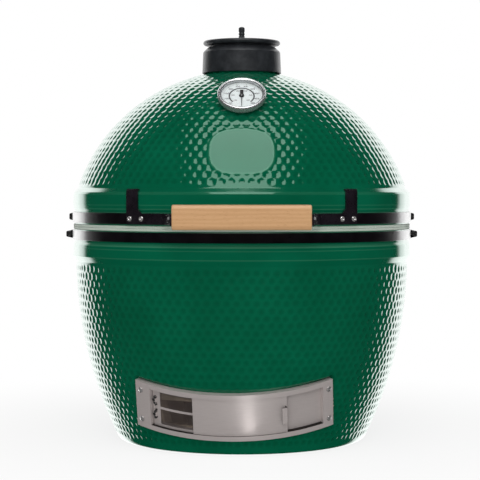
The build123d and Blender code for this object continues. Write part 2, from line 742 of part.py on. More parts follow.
def screen_door():
    """Sliding frame with two windows and a low folded finger pull."""
    outer = SCREEN_R + DOOR_T
    door = ring(SCREEN_R, outer, -DOOR_HALF_H, DOOR_HALF_H, *SCREEN_AZ)
    for z_low, z_high in ((-34.5, -2.5), (2.5, 34.5)):
        door -= ring(SCREEN_R - 3, outer + 3, z_low, z_high, *WINDOW_AZ)
    for z_low, z_high in ((-24, -5), (5, 24)):
        door += ring(outer - 0.2, outer + 3.4, z_low, z_high, -29.6, -29.3)
        door += ring(outer + 2.4, outer + 3.4, z_low, z_high, -30.6, -29.3)
    return door


def screen_mesh():
    """Woven screens behind the two windows."""
    panels = []
    for z_low, z_high in ((-34.3, -2.7), (2.7, 34.3)):
        az = (WINDOW_AZ[0] + 0.05, WINDOW_AZ[1] - 0.05)
        panels.append(ring(SCREEN_R + 0.3, SCREEN_R + 0.9, z_low, z_high, *az))
    return panels


def draft_screws():
    depth = LIP_R[1] - LAND_R
    return [pan_screw(plane, 4.8, 2.6, 2.5, depth + 13) for plane in draft_screw_planes(LIP_R[1])]


def draft_anchors():
    """Sleeves set into the ceramic for the frame's screws."""
    sleeves = []
    for plane in draft_screw_planes(LAND_R):
        sleeves.append(extrude(plane * (Circle(4.1) - Circle(2.55)), -15))
    return sleeves


# --- build ----------------------------------------------------------------
def build_all():
    """Every node of the grill by name."""
    base_screws = bracket_screw_planes(BASE_SCREW_Z, BASE_SCREW_AZ)
    lid_screws = bracket_screw_planes(LID_SCREW_Z, LID_SCREW_AZ)
    lower_front, lower_rear = band_halves(LOWER_BAND_Z, 90)
    upper_front, upper_rear = band_halves(UPPER_BAND_Z, 97)
    lower_bolts, lower_nuts = band_fasteners(LOWER_BAND_Z, 90)
    upper_bolts, upper_nuts = band_fasteners(UPPER_BAND_Z, 97)
    right_bracket = handle_bracket()
    handle_holes = handle_screw_planes()
    both_sides = handle_holes + [mirrored(plane) for plane in handle_holes]
    gasket_z = (BASE_TOP_Z, PARTING_Z - RUN / 2, PARTING_Z + RUN / 2, DOME_BOTTOM_Z)
    nodes = {
        "base_shell": base_shell(),
        "dome_shell": dome_shell(),
        "fire_box_base": fire_box_base(),
        "fire_ring": fire_ring(),
        "fire_grate": fire_grate(),
        "cooking_grid": cooking_grid(),
        "base_gasket": ring(311, 342.3, *gasket_z[:2]),
        "dome_gasket": ring(311, 342.3, *gasket_z[2:]),
        "lower_band_front": lower_front,
        "lower_band_rear": drilled(lower_rear, base_screws),
        "lower_band_bolts": together(lower_bolts),
        "lower_band_nuts": together(lower_nuts),
        "upper_band_front": drilled(upper_front, both_sides),
        "upper_band_rear": drilled(upper_rear, lid_screws),
        "upper_band_bolts": together(upper_bolts),
        "upper_band_nuts": together(upper_nuts),
        "hinge_base_bracket": hinge_bracket(
            BASE_PLATE_Z, 18, BASE_EAR_X, 333, PIN_R + 0.05, base_screws),
        "hinge_lid_bracket": hinge_bracket(
            UPPER_BAND_Z, 15.2, LID_EAR_X, 336, 8.05, lid_screws),
        "hinge_base_screws": together(hinge_screws(base_screws)),
        "hinge_lid_screws": together(hinge_screws(lid_screws)),
        "hinge_pin": bar_x(PIN_R, -113, 113),
        "hinge_pin_nuts": together(
            hexagon_on(
                Plane(origin=(side * (BASE_EAR_X + EAR_T + 0.2), HINGE_Y, HINGE_Z), z_dir=(side, 0, 0)),
                18, 9, PIN_R + 0.05)
            for side in (-1, 1)
        ),
        "hinge_bushes": together(hinge_bush(side) for side in (-1, 1)),
        "hinge_spring_left": torsion_spring(-1),
        "hinge_spring_right": torsion_spring(1),
        "handle_bracket_right": right_bracket,
        "handle_bracket_left": mirror(right_bracket, Plane.YZ),
        "handle_screws": together(pan_screw(p, 5.0, 3.0, 3, STRAP_T + BAND_T) for p in both_sides),
        "handle_grip": handle_grip(),
        "handle_lag_screws": together(lag_screw(side) for side in (-1, 1)),
        "cap_gasket": ring(NECK_R + SEAT, CAP_BOTTOM_R - 3.5 - RUN, 750, NECK_TOP_Z - 1),
        "cap_body": cap_body(),
        "cap_pivot_screw": cap_pivot_screw(),
        "cap_disc": cap_disc(),
        "daisy_wheel": daisy_wheel(),
        "cap_knob": cap_knob(),
        "draft_frame": draft_frame(),
        "draft_door": DOOR_SITE * draft_door(),
        "screen_door": DOOR_SITE * screen_door(),
        "screen_mesh": together(DOOR_SITE * panel for panel in screen_mesh()),
        "draft_screws": together(draft_screws()),
        "draft_anchors": together(draft_anchors()),
    }
    for number in range(1, BOX_SEGMENTS + 1):
        nodes[f"fire_box_segment_{number}"] = fire_box_segment(number)
    for node, shape in thermometer_parts().items():
        nodes[node] = DIAL_PLACE * shape
    return nodes


os.makedirs("parts", exist_ok=True)
for node_name, node_shape in build_all().items():
    write(node_shape, node_name)
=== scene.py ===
import json
import math

import bmesh
import bpy
import numpy as np
from mathutils import Matrix, Vector

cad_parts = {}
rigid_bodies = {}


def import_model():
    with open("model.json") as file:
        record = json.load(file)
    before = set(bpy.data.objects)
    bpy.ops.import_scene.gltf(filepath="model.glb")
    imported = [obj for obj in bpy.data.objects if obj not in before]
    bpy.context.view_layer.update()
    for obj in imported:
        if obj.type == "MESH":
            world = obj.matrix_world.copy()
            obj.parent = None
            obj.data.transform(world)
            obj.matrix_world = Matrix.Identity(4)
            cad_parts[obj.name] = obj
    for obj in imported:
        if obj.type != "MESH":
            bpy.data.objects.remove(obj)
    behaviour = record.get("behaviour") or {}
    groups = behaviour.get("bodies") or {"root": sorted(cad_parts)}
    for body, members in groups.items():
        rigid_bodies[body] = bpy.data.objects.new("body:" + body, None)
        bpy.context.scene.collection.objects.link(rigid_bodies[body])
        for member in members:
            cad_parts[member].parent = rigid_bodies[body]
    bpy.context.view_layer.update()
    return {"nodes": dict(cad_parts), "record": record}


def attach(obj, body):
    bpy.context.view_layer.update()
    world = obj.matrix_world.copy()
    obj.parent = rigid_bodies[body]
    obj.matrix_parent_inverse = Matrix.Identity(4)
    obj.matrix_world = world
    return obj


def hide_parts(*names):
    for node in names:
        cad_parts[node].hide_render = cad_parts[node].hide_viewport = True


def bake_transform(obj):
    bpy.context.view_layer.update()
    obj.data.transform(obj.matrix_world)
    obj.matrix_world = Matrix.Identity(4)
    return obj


# Looks of the kamado ceramic grill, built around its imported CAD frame.
# Shapes are worked out in millimetres and become metres when a mesh is made.
# +Z is up and the front is towards -Y. An azimuth is in degrees from the front
# towards +X, so +90 is the right side and 180 the rear.

MM = 0.001
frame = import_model()

# --- driving dimensions, as in the CAD source -------------------------------
WALL_ARC_R = 827.0
WALL_TOP_R = 337.5
WALL_TOP_Z = 370.0
DIMPLED_TO_Z = 363.0
SHELL_T = 26.0
FLOOR_T = 30.0
FOOT_ROUND = 16.0
RIM_R = 344.6
BAND_SEAT_R = 341.6
RIM_BORE_R = 308.0
BASE_TOP_Z = 428.0
PARTING_Z = 433.0

DOME_R = 353.0
DOME_CENTRE_Z = 397.0
DOME_BOTTOM_Z = 438.0
DOME_T = 24.0
SHOULDER_Z = 500.0
NECK_R = 73.0
FLUE_R = 55.0
NECK_TOP_Z = 784.0

BAND_T = 3.0
BAND_R = 341.8
LOWER_BAND_Z = (407.0, 426.0)
UPPER_BAND_Z = (441.0, 462.0)
LOWER_SPLIT_AZ = 90.0
UPPER_SPLIT_AZ = 97.0
BANDS = (
    ("lower", LOWER_BAND_Z, LOWER_SPLIT_AZ, "base"),
    ("upper", UPPER_BAND_Z, UPPER_SPLIT_AZ, "dome"),
)
EAR_OUT_R = 359.0
EAR_GAP = 4.0
EAR_BEND = 3.2
# share of the band's height along an ear, from its root to its tip
EAR_TAPER = [1, 1, 1, 0.99, 0.97, 0.94, 0.90, 0.78, 0.70, 0.64, 0.56, 0.40]
STRIP_EDGE = 0.8         # rounding of a strip's edges
SHARP_ANGLE = 32.0       # edges of CAD meshes sharper than this are rounded
CLAMP_ACROSS = 10.0      # size of the clamp bolts and nuts over their flats

# azimuths and heights of screws
DRAFT_SCREW_AZ = (-35.6, 39.2)
DRAFT_SCREW_W = (-31, 31)
HANDLE_SCREW_AZ = (32.7, 37.2)
HINGE_SCREWS = (("base", 415.5, (7.5, 13), "base"), ("lid", 452.0, (3, 8.5), "dome"))
HINGE_PLATE_T = 4.0

HINGE_Y = 380.0
HINGE_NUT_X = 101.2
HINGE_Z = PARTING_Z
PIN_R = 6.0
SPRING_R = 13.0
SPRING_WIRE_R = 2.25
SPRING_X = (20.0, 74.0)

GRIP_HALF = 126.5
GRIP_H = 46.0
GRIP_D = 32.0
GRIP_Y = -400.0
GRIP_Z = 456.0
STRAP_T = 3.5
STRAP_R = RIM_R + 0.5 + STRAP_T
BOLT_Z = sum(UPPER_BAND_Z) / 2

DIAL_ELEVATION = 47.0
DIAL_ANGLE = 52.5
CASE_R = 43.5
BEZEL_R = 46.5

DOOR_TILT = 20.5
DOOR_TURN = -5.0
DOOR_FACE_R = 297.0
DOOR_FRONT_Y = -293.0
DOOR_MID_Z = 75.0
LAND_R = 284.5
FRAME_AZ = (-38.2, 41.2)
FRAME_HALF_H = 48.5
LIP_IN_R = 293.9
LIP_OUT_R = 295.6
CHANNEL_W = 38.4
SCREEN_FROM_AZ = -31.0
SOLID_OUT_R = 293.1
PULL_AZ = -29.9
PULL_R = 287.5
MESH_R = 287.2
WINDOW_AZ = (-27.7, 1.0)
WINDOW_W = ((-34.4, -2.6), (2.6, 34.4))
PASSAGE_AZ = -20.0
PASSAGE_HALF = 12.6
PASSAGE_Z = (58.0, 104.0)

CAP_LOW_Z = 744.0
CAP_SEAT_Z = 800.6
CAP_MOUTH_R = 50.0
CAP_FELT_R = (73.2, 76.7)
CAP_FELT_Z = (750.0, 783.0)
PIVOT_Y = 58.0
DISC_TOP_Z = 810.0
KNOB_TOP_Z = 839.0
FIRE_RING_R = (268.0, 292.0)
FIRE_RING_Z = (322.3, 408.0)
GRID_R = 297.0
GRID_Z = 412.3
GRID_PITCH = 17.0

# glaze texture
DIMPLE_ROW = 14.2        # distance between rows, along the shell
DIMPLE_STEP = 18.5       # distance between dimples of a row on the dome
BASE_DIMPLES = 112       # dimples in each row of the base
DIMPLE_R = 7.7
DIMPLE_DEPTH = 1.35
MEDALLION_Z = 580.0      # middle of the smooth field on the dome's front
FIELD_HALF = (66.0, 54.0)  # half its width and height over the shell
COLUMNS = BASE_DIMPLES * 8
ROW_STEP = DIMPLE_ROW / 6

# studio, in metres and in directions of length 1
CAMERA_EYE = (0, -3.376, 0.502)
CAMERA_AIM = (-0.0035, 0, 0.4036)
LENS_MM = 123.5
FLOOR_HALF = 30
FLOOR_FADE = (0.3, 1.2)        # the floor turns white between these distances from the grill
FLOOR_GLOW = 0.84              # share of plain white under the grill itself
FILL = 0.27                    # light from all round on dull surfaces
MIRRORED = (0.018, 3.4)        # what a glossy surface mirrors in front and behind
MIRROR_RISE = (0.61, 0.72)     # Y of the directions between the two
GRAZING_FROM = 0.82            # past this Y the mirrored white weakens towards the outline
GRAZING_SHARE = 0.34
BELOW_FLOOR = (-0.6, -0.4)     # Z of the directions where the mirrored white ends
WHITE = (1, 1, 1, 1)

DOOR_SITE = (
    Matrix.Rotation(math.radians(DOOR_TURN), 4, "Z")
    @ Matrix.Translation((
        0,
        DOOR_FRONT_Y + DOOR_FACE_R * math.cos(math.radians(DOOR_TILT)),
        DOOR_MID_Z + DOOR_FACE_R * math.sin(math.radians(DOOR_TILT)),
    ))
    @ Matrix.Rotation(math.radians(DOOR_TILT), 4, "X")
)
DIAL_SITE = (
    Matrix.Translation((
        0,
        -DOME_R * math.cos(math.radians(DIAL_ANGLE)),
        DOME_CENTRE_Z + DOME_R * math.sin(math.radians(DIAL_ANGLE)),
    ))
    @ Matrix.Rotation(math.radians(90 - DIAL_ELEVATION), 4, "X")
)


# --- material helpers -------------------------------------------------------
def new_material(name, **sockets):
    """Material with a Principled shader whose sockets are set to these values."""
    made = bpy.data.materials.new(name)
    made.use_nodes = True
    tree = made.node_tree
    shader = tree.nodes["Principled BSDF"]
    for socket, value in sockets.items():
        shader.inputs[socket.replace("_", " ")].default_value = value
    return made, tree, shader


def add_node(tree, kind, **inputs):
    """Node of that kind with these input values."""
    node = tree.nodes.new("ShaderNode" + kind)
    for name, value in inputs.items():
        socket = node.inputs[name.replace("_", " ")]
        if isinstance(value, bpy.types.NodeSocket):
            tree.links.new(value, socket)
        else:
            socket.default_value = value
    return node


def place(tree, scale=(1, 1, 1), turn=(0, 0, 0)):
    """Object coordinates, stretched so that grain can run one way."""
    spot = add_node(tree, "TexCoord").outputs["Object"]
    return add_node(tree, "Mapping", Vector=spot, Scale=scale, Rotation=turn).outputs["Vector"]


def noise(tree, vector, scale, detail=3.0, roughness=0.5):
    """Noise value from 0 to 1."""
    node = add_node(tree, "TexNoise", Vector=vector, Scale=scale, Detail=detail, Roughness=roughness)
    return node.outputs["Fac"]


def attribute(tree, name):
    """A value stored on the mesh."""
    node = tree.nodes.new("ShaderNodeAttribute")
    node.attribute_name = name
    return node.outputs["Fac"]


def ramp(tree, value, *stops):
    """Colour that changes with a value, through (position, colour) stops."""
    node = add_node(tree, "ValToRGB", Fac=value)
    elements = node.color_ramp.elements
    while len(elements) < len(stops):
        elements.new(0.5)
    for element, (position, colour) in zip(elements, stops):
        element.position = position
        element.color = (*colour, 1)
    return node.outputs["Color"]


def mask(tree, value, low, high):
    """Black below low, white above high."""
    return ramp(tree, value, (low, (0, 0, 0)), (high, (1, 1, 1)))


def mix(tree, factor, a, b):
    """Mix of two colours, each a value or a socket."""
    node = tree.nodes.new("ShaderNodeMix")
    node.data_type = "RGBA"
    for socket, value in zip((node.inputs[0], node.inputs[6], node.inputs[7]), (factor, a, b)):
        if isinstance(value, bpy.types.NodeSocket):
            tree.links.new(value, socket)
        elif isinstance(value, tuple):
            socket.default_value = (*value, 1)
        else:
            socket.default_value = value
    return node.outputs[2]


def spread(tree, value, low, high):
    """A 0 to 1 value moved into another range."""
    node = add_node(tree, "MapRange", Value=value, To_Min=low, To_Max=high)
    return node.outputs["Result"]


def eased(tree, value, start, end, low=0.0, high=1.0):
    """Value that rises smoothly from low at start to high at end."""
    node = add_node(tree, "MapRange", Value=value, From_Min=start, From_Max=end, To_Min=low, To_Max=high)
    node.interpolation_type = "SMOOTHSTEP"
    return node.outputs["Result"]


def bump(tree, shader, height, distance, strength=1.0):
    """Surface relief from a height value; distance in millimetres."""
    node = add_node(tree, "Bump", Height=height, Distance=distance * MM, Strength=strength)
    tree.links.new(node.outputs["Normal"], shader.inputs["Normal"])


def set_from(tree, shader, **sockets):
    """Link sockets of the shader to computed values."""
    for name, value in sockets.items():
        tree.links.new(value, shader.inputs[name.replace("_", " ")])


# --- materials --------------------------------------------------------------
def glaze():
    """Deep green glass glaze: darker where it pools, paler over edges, partly because the glaze thins there
    and partly as a painted highlight along them.
    """
    made, tree, shader = new_material(
        "green_glaze", Roughness=0.09, IOR=1.52, Specular_Tint=(0.66, 1.0, 0.83, 1))
    spot = place(tree)
    cloud = noise(tree, spot, 9, 4)
    base = ramp(tree, cloud, (0.3, (0.0004, 0.070, 0.033)), (0.7, (0.0008, 0.090, 0.044)))
    pooled = mix(tree, spread(tree, attribute(tree, "pool"), 0, 0.45), base, (0.0002, 0.045, 0.020))
    # paleness on the rim edges and the field's lip: thinner glaze plus a painted highlight
    broken = mix(tree, attribute(tree, "thin_glaze_highlight"), pooled, (0.09, 0.27, 0.17))
    speck = mask(tree, noise(tree, spot, 420, 2), 0.70, 0.76)
    colour = mix(tree, spread(tree, speck, 0, 0.35), broken, (0.0, 0.03, 0.014))
    set_from(tree, shader, Base_Color=colour, Roughness=spread(tree, noise(tree, spot, 60), 0.05, 0.14))
    bump(tree, shader, noise(tree, spot, 130, 3), 0.05, 0.6)
    return made


def clay():
    """Unglazed fired clay with grog specks, pores and a little soot."""
    made, tree, shader = new_material("fired_clay", Roughness=0.9)
    spot = place(tree)
    body = ramp(tree, noise(tree, spot, 22, 5), (0.3, (0.42, 0.33, 0.24)), (0.7, (0.58, 0.48, 0.36)))
    grog = mask(tree, noise(tree, spot, 600, 2), 0.62, 0.68)
    speckled = mix(tree, spread(tree, grog, 0, 0.5), body, (0.2, 0.14, 0.09))
    soot = mask(tree, noise(tree, spot, 5, 5, 0.6), 0.45, 0.75)
    set_from(tree, shader, Base_Color=mix(tree, spread(tree, soot, 0.05, 0.4), speckled, (0.08, 0.07, 0.06)))
    bump(tree, shader, noise(tree, spot, 320, 5, 0.7), 0.6)
    return made


def felt():
    """Pressed grey-green wool with loose fibres."""
    made, tree, shader = new_material("felt", Roughness=1.0, Sheen_Weight=0.5, Sheen_Roughness=0.6)
    spot = place(tree)
    fibre = noise(tree, place(tree, (1, 1, 3)), 900, 5, 0.75)
    tone = ramp(tree, fibre, (0.3, (0.17, 0.26, 0.20)), (0.7, (0.44, 0.52, 0.43)))
    blotch = noise(tree, spot, 30, 3)
    set_from(tree, shader, Base_Color=mix(tree, spread(tree, blotch, 0, 0.4), tone, (0.48, 0.50, 0.43)))
    bump(tree, shader, fibre, 0.7)
    return made


def painted(name, colour, roughness, grain=0.03):
    """Powder-coated steel with a fine orange-peel surface and specks of dust."""
    made, tree, shader = new_material(name, Coat_Weight=0.4, Coat_Roughness=0.1)
    spot = place(tree)
    lighter = tuple(c * 1.9 + 0.0015 for c in colour)
    tone = ramp(tree, noise(tree, spot, 45, 4), (0.35, colour), (0.7, lighter))
    dust = mask(tree, noise(tree, spot, 260, 4, 0.7), 0.6, 0.72)
    set_from(tree, shader, Base_Color=mix(tree, spread(tree, dust, 0, 0.05), tone, (0.12, 0.115, 0.125)))
    set_from(tree, shader, Roughness=spread(tree, noise(tree, spot, 80), roughness - 0.06, roughness + 0.08))
    bump(tree, shader, noise(tree, spot, 700, 2), grain)
    return made


def metal(name, colour, roughness, grain=0.012, stretch=(1, 1, 1), tarnish=(0.3, 0.28, 0.26),
          share=0.25, bare=0.75):
    """Bare or plated metal with fine grain and slight tarnish."""
    made, tree, shader = new_material(name, Metallic=bare)
    spot = place(tree)
    lines = noise(tree, place(tree, stretch), 300, 4, 0.65)
    bright = ramp(tree, lines, (0.25, tuple(c * 0.86 for c in colour)), (0.75, colour))
    stain = mask(tree, noise(tree, spot, 18, 5, 0.6), 0.45, 0.8)
    set_from(tree, shader, Base_Color=mix(tree, spread(tree, stain, 0, share), bright, tarnish))
    set_from(tree, shader, Roughness=spread(tree, lines, roughness - 0.07, roughness + 0.09))
    bump(tree, shader, lines, grain)
    return made


def stainless():
    """Brushed stainless sheet: fine lines along its length, faint heat tint."""
    made, tree, shader = new_material("stainless", Metallic=0.55, Anisotropic=0.5)
    spot = place(tree)
    brushed = noise(tree, place(tree, (0.02, 0.02, 1)), 2600, 3, 0.6)
    tone = ramp(tree, brushed, (0.25, (0.55, 0.495, 0.48)), (0.75, (0.68, 0.62, 0.605)))
    tint = noise(tree, spot, 14, 3)
    set_from(tree, shader, Base_Color=mix(tree, spread(tree, tint, 0, 0.35), tone, (0.58, 0.50, 0.475)))
    set_from(tree, shader, Roughness=spread(tree, brushed, 0.27, 0.42))
    bump(tree, shader, brushed, 0.01)
    return made


def cast_iron(name, colour, roughness, grain):
    """Cast iron with the pebbled skin of its sand mould."""
    made, tree, shader = new_material(name, Specular_IOR_Level=0.3)
    spot = place(tree)
    worn = tuple(c * 2.0 + 0.01 for c in colour)
    tone = ramp(tree, noise(tree, spot, 55, 5, 0.6), (0.35, colour), (0.75, worn))
    pits = noise(tree, spot, 750, 4, 0.6)
    pitted = tuple(c * 0.6 for c in colour)
    set_from(tree, shader, Base_Color=mix(tree, spread(tree, pits, 0, 0.4), tone, pitted))
    set_from(tree, shader, Roughness=spread(tree, pits, roughness - 0.08, roughness + 0.1))
    bump(tree, shader, pits, grain)
    return made


def beech():
    """Pale beech under a satin coat: long grain with short darker flecks, rings at the ends."""
    made, tree, shader = new_material("beech", Coat_Weight=0.12, Coat_Roughness=0.35)
    drift = noise(tree, place(tree, (1.2, 6, 6)), 4, 3)
    rings = add_node(tree, "TexWave", Vector=place(tree, (0.12, 1, 1), (0.35, 0, 0)), Scale=42,
                     Distortion=5, Detail=3, Detail_Scale=1.5)
    rings.bands_direction = "Z"
    grain = noise(tree, place(tree, (0.035, 1, 1)), 1400, 5, 0.7)
    flecks = noise(tree, place(tree, (0.16, 1, 1)), 900, 2, 0.5)
    tone = ramp(tree, rings.outputs["Fac"], (0.1, (0.40, 0.220, 0.092)), (0.9, (0.455, 0.262, 0.120)))
    tone = mix(tree, spread(tree, grain, 0, 0.42), tone, (0.30, 0.145, 0.052))
    tone = mix(tree, spread(tree, drift, 0, 0.35), tone, (0.50, 0.305, 0.160))
    fleck = mask(tree, flecks, 0.60, 0.70)
    set_from(tree, shader, Base_Color=mix(tree, spread(tree, fleck, 0, 0.45), tone, (0.27, 0.13, 0.05)))
    set_from(tree, shader, Roughness=spread(tree, grain, 0.42, 0.6))
    bump(tree, shader, grain, 0.06)
    return made


def enamel(name, colour, roughness=0.45):
    """Printed enamel of the dial."""
    made, tree, shader = new_material(name)
    spot = place(tree)
    darker = tuple(c * 0.97 for c in colour)
    set_from(tree, shader, Base_Color=ramp(tree, noise(tree, spot, 160, 4), (0.3, darker), (0.7, colour)))
    set_from(tree, shader, Roughness=spread(tree, noise(tree, spot, 400), roughness - 0.05, roughness + 0.1))
    return made


def glass():
    """Flat clear glass of the thermometer."""
    made, tree, shader = new_material("clear_glass", Alpha=0.10, IOR=1.5)
    haze = noise(tree, place(tree), 90, 3)
    tone = ramp(tree, haze, (0.3, (0.010, 0.012, 0.011)), (0.7, (0.022, 0.025, 0.024)))
    set_from(tree, shader, Base_Color=tone, Roughness=spread(tree, haze, 0.02, 0.08))
    return made


LOOK = {
    "green_glaze": glaze(),
    "fired_clay": clay(),
    "felt": felt(),
    "black_band": painted("black_band", (0.0009, 0.0003, 0.0010), 0.30),
    "black_bracket": painted("black_bracket", (0.004, 0.0028, 0.0045), 0.27),
    "zinc_fastener": metal("zinc_fastener", (0.76, 0.74, 0.73), 0.25, bare=0.82),
    "black_fastener": painted("black_fastener", (0.012, 0.012, 0.012), 0.4),
    "pin_steel": metal("pin_steel", (0.62, 0.62, 0.62), 0.25, stretch=(8, 1, 1)),
    "spring_steel": metal("spring_steel", (0.30, 0.30, 0.31), 0.3, tarnish=(0.1, 0.09, 0.08)),
    "bronze": metal("bronze", (0.70, 0.50, 0.26), 0.38, tarnish=(0.3, 0.18, 0.08)),
    "beech": beech(),
    "cast_iron": cast_iron("cast_iron", (0.0085, 0.0098, 0.0118), 0.44, 0.09),
    "raw_iron": cast_iron("raw_iron", (0.035, 0.032, 0.030), 0.65, 0.3),
    "grid_steel": metal("grid_steel", (0.62, 0.60, 0.57), 0.3, tarnish=(0.2, 0.15, 0.1), share=0.45),
    "stainless": stainless(),
    # dark steel used as painted shade in the draft frame's channels and inside the door pulls
    "painted_shade_steel": metal("painted_shade_steel", (0.05, 0.042, 0.038), 0.5, tarnish=(0.012, 0.01, 0.009),
                         share=0.6, bare=0.5),
    "screen": metal("screen", (0.125, 0.10, 0.092), 0.42, tarnish=(0.06, 0.045, 0.04), share=0.5, bare=0.4),
    "chrome": metal("chrome", (0.60, 0.61, 0.62), 0.24, grain=0.002, share=0.08, bare=0.85),
    "dial_white": enamel("dial_white", (0.87, 0.93, 0.93)),
    "pointer_black": enamel("pointer_black", (0.016, 0.016, 0.017), 0.5),
    "clear_glass": glass(),
    "dial_print": enamel("dial_print", (0.02, 0.021, 0.023), 0.55),
    "dial_arc": enamel("dial_arc", (0.06, 0.066, 0.072), 0.5),
}


# --- mesh helpers -----------------------------------------------------------
def mesh_from(points, faces, name="shape"):
    """Mesh from points in millimetres and lists of corner numbers."""
    mesh = bpy.data.meshes.new(name)
    mesh.from_pydata((np.asarray(points, float) * MM).tolist(), [], [list(map(int, f)) for f in faces])
    mesh.validate()
    return mesh


def tidy_mesh(mesh, merge=1e-6):
    """Merge doubled points and turn all faces outwards."""
    work = bmesh.new()
    work.from_mesh(mesh)
    bmesh.ops.remove_doubles(work, verts=work.verts, dist=merge)
    bmesh.ops.recalc_face_normals(work, faces=work.faces)
    work.to_mesh(mesh)
    work.free()
    return mesh


def in_scene(name, data):
    """New object of the scene."""
    made = bpy.data.objects.new(name, data)
    bpy.context.scene.collection.objects.link(made)
    return made


def piece(name, mesh, body, stands_for, slot, looks=None, weighted=True):
    """Object that rides on a body and shows in place of CAD nodes."""
    mesh.shade_smooth()
    made = in_scene(name, mesh)
    for look in looks or [LOOK[slot]]:
        mesh.materials.append(look)
    if weighted:
        normals = made.modifiers.new("normals", "WEIGHTED_NORMAL")
        normals.keep_sharp = True
    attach(made, body)
    if stands_for:
        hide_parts(*stands_for)
    return made


def grid_faces(rows, columns, wrap_rows=False):
    """Quads of a grid whose columns close into a ring."""
    row = np.arange(rows if wrap_rows else rows - 1)[:, None]
    column = np.arange(columns)[None, :]
    after = (column + 1) % columns
    above = (row + 1) % rows
    corners = (
        row * columns + column, row * columns + after,
        above * columns + after, above * columns + column,
    )
    return np.stack([np.broadcast_to(c, (len(row), columns)) for c in corners], -1).reshape(-1, 4)


def capped(rows, columns):
    """Faces of a grid of rings, with a flat face over the first ring and over the last."""
    first, last = range(columns), range((rows - 1) * columns, rows * columns)
    return grid_faces(rows, columns).tolist() + [list(first)[::-1], list(last)]


def rounded(points, radius, steps=3, closed=True):
    """Round the sharp corners of a section."""
    out = []
    count = len(points)
    for i, point in enumerate(points):
        here = np.array(point, float)
        if not closed and i in (0, count - 1):
            out.append(here)
            continue
        before = np.array(points[i - 1], float) - here
        after = np.array(points[(i + 1) % count], float) - here
        la, lb = np.linalg.norm(before), np.linalg.norm(after)
        turn = math.pi - math.acos(np.clip(before @ after / (la * lb), -1, 1))
        if turn < math.radians(18):
            out.append(here)
            continue
        cut = min(radius * math.tan(turn / 2), 0.45 * la, 0.45 * lb)
        start, end = here + before / la * cut, here + after / lb * cut
        for step in range(steps + 1):
            t = step / steps
            out.append((1 - t) ** 2 * start + 2 * t * (1 - t) * here + t * t * end)
    return [tuple(p) for p in out]


def hexagon(angles):
    """Radius of a hexagon of inner radius 1 at these angles."""
    return 1 / np.cos((angles + math.pi / 6) % (math.pi / 3) - math.pi / 6)


def turned(profile, segments=96, closed=True):
    """Points and quads of a section turned about Z. A third value of 1 makes that point hexagonal."""
    angles = np.arange(segments) * 2 * math.pi / segments
    rings = []
    for entry in profile:
        radius = entry[0] * (hexagon(angles) if len(entry) > 2 else np.ones(segments))
        height = np.full(segments, entry[1])
        rings.append(np.stack([radius * np.sin(angles), -radius * np.cos(angles), height], -1))
    return np.concatenate(rings), grid_faces(len(profile), segments, wrap_rows=closed)


def turned_mesh(profile, segments=96, closed=True, site=None):
    """Mesh of a turned section, placed by a matrix."""
    points, faces = turned(profile, segments, closed)
    return tidy_mesh(mesh_from(moved(points, site), faces))


def moved(points, site):
    """Points placed by a matrix in millimetres."""
    if site is None:
        return points
    matrix = np.array(site, float)
    return np.asarray(points) @ matrix[:3, :3].T + matrix[:3, 3]


def in_metres(site):
    """Copy of a matrix whose place is in metres."""
    copy = site.copy()
    copy.translation *= MM
    return copy


def joined(parts):
    """One mesh from several (points, faces) pairs."""
    points, faces, first = [], [], 0
    for part_points, part_faces in parts:
        points.append(np.asarray(part_points))
        faces += [[int(c) + first for c in face] for face in part_faces]
        first += len(part_points)
    return tidy_mesh(mesh_from(np.concatenate(points), faces), merge=1e-8)


def refined(node, width, segments=2, dissolve=0.6):
    """Copy of a CAD node's mesh with its sharp edges rounded."""
    work = bmesh.new()
    work.from_mesh(frame["nodes"][node].data)
    bmesh.ops.remove_doubles(work, verts=work.verts, dist=2e-6)
    bmesh.ops.dissolve_limit(
        work, angle_limit=math.radians(dissolve), verts=work.verts, edges=work.edges,
        use_dissolve_boundaries=False)
    sharp = [
        e for e in work.edges
        if len(e.link_faces) == 2 and e.calc_face_angle(0) > math.radians(SHARP_ANGLE)
    ]
    bmesh.ops.bevel(
        work, geom=sharp, offset=width * MM, offset_type="OFFSET", segments=segments,
        profile=0.6, affect="EDGES", clamp_overlap=True)
    mesh = bpy.data.meshes.new(node + "_refined")
    work.to_mesh(mesh)
    work.free()
    return mesh


def upright(azimuth, radius, z):
    """Matrix of a place on a vertical cylinder, its Z pointing outwards."""
    a = math.radians(azimuth)
    out = Vector((math.sin(a), -math.cos(a), 0))
    across = Vector((math.cos(a), math.sin(a), 0))
    up = Vector((0, 0, 1))
    turn = Matrix((across, up, out)).transposed().to_4x4()
    return Matrix.Translation(out * radius + up * z) @ turn


def smoothstep(low, high, value):
    """0 below low, 1 above high, smooth between."""
    t = np.clip((np.asarray(value, float) - low) / (high - low), 0, 1)
    return t * t * (3 - 2 * t)


def scatter(a, b, seed):
    """Repeatable pseudo-random value from 0 to 1 for a pair of whole numbers."""
    value = np.sin(a * 127.1 + b * 311.7 + seed * 74.7) * 43758.5453
    return value - np.floor(value)


# --- glazed ceramics --------------------------------------------------------
def wall_radius(z, inset=0.0):
    """Radius of the base's belly curve at a height."""
    return WALL_TOP_R - WALL_ARC_R + math.sqrt((WALL_ARC_R - inset) ** 2 - (WALL_TOP_Z - z) ** 2)


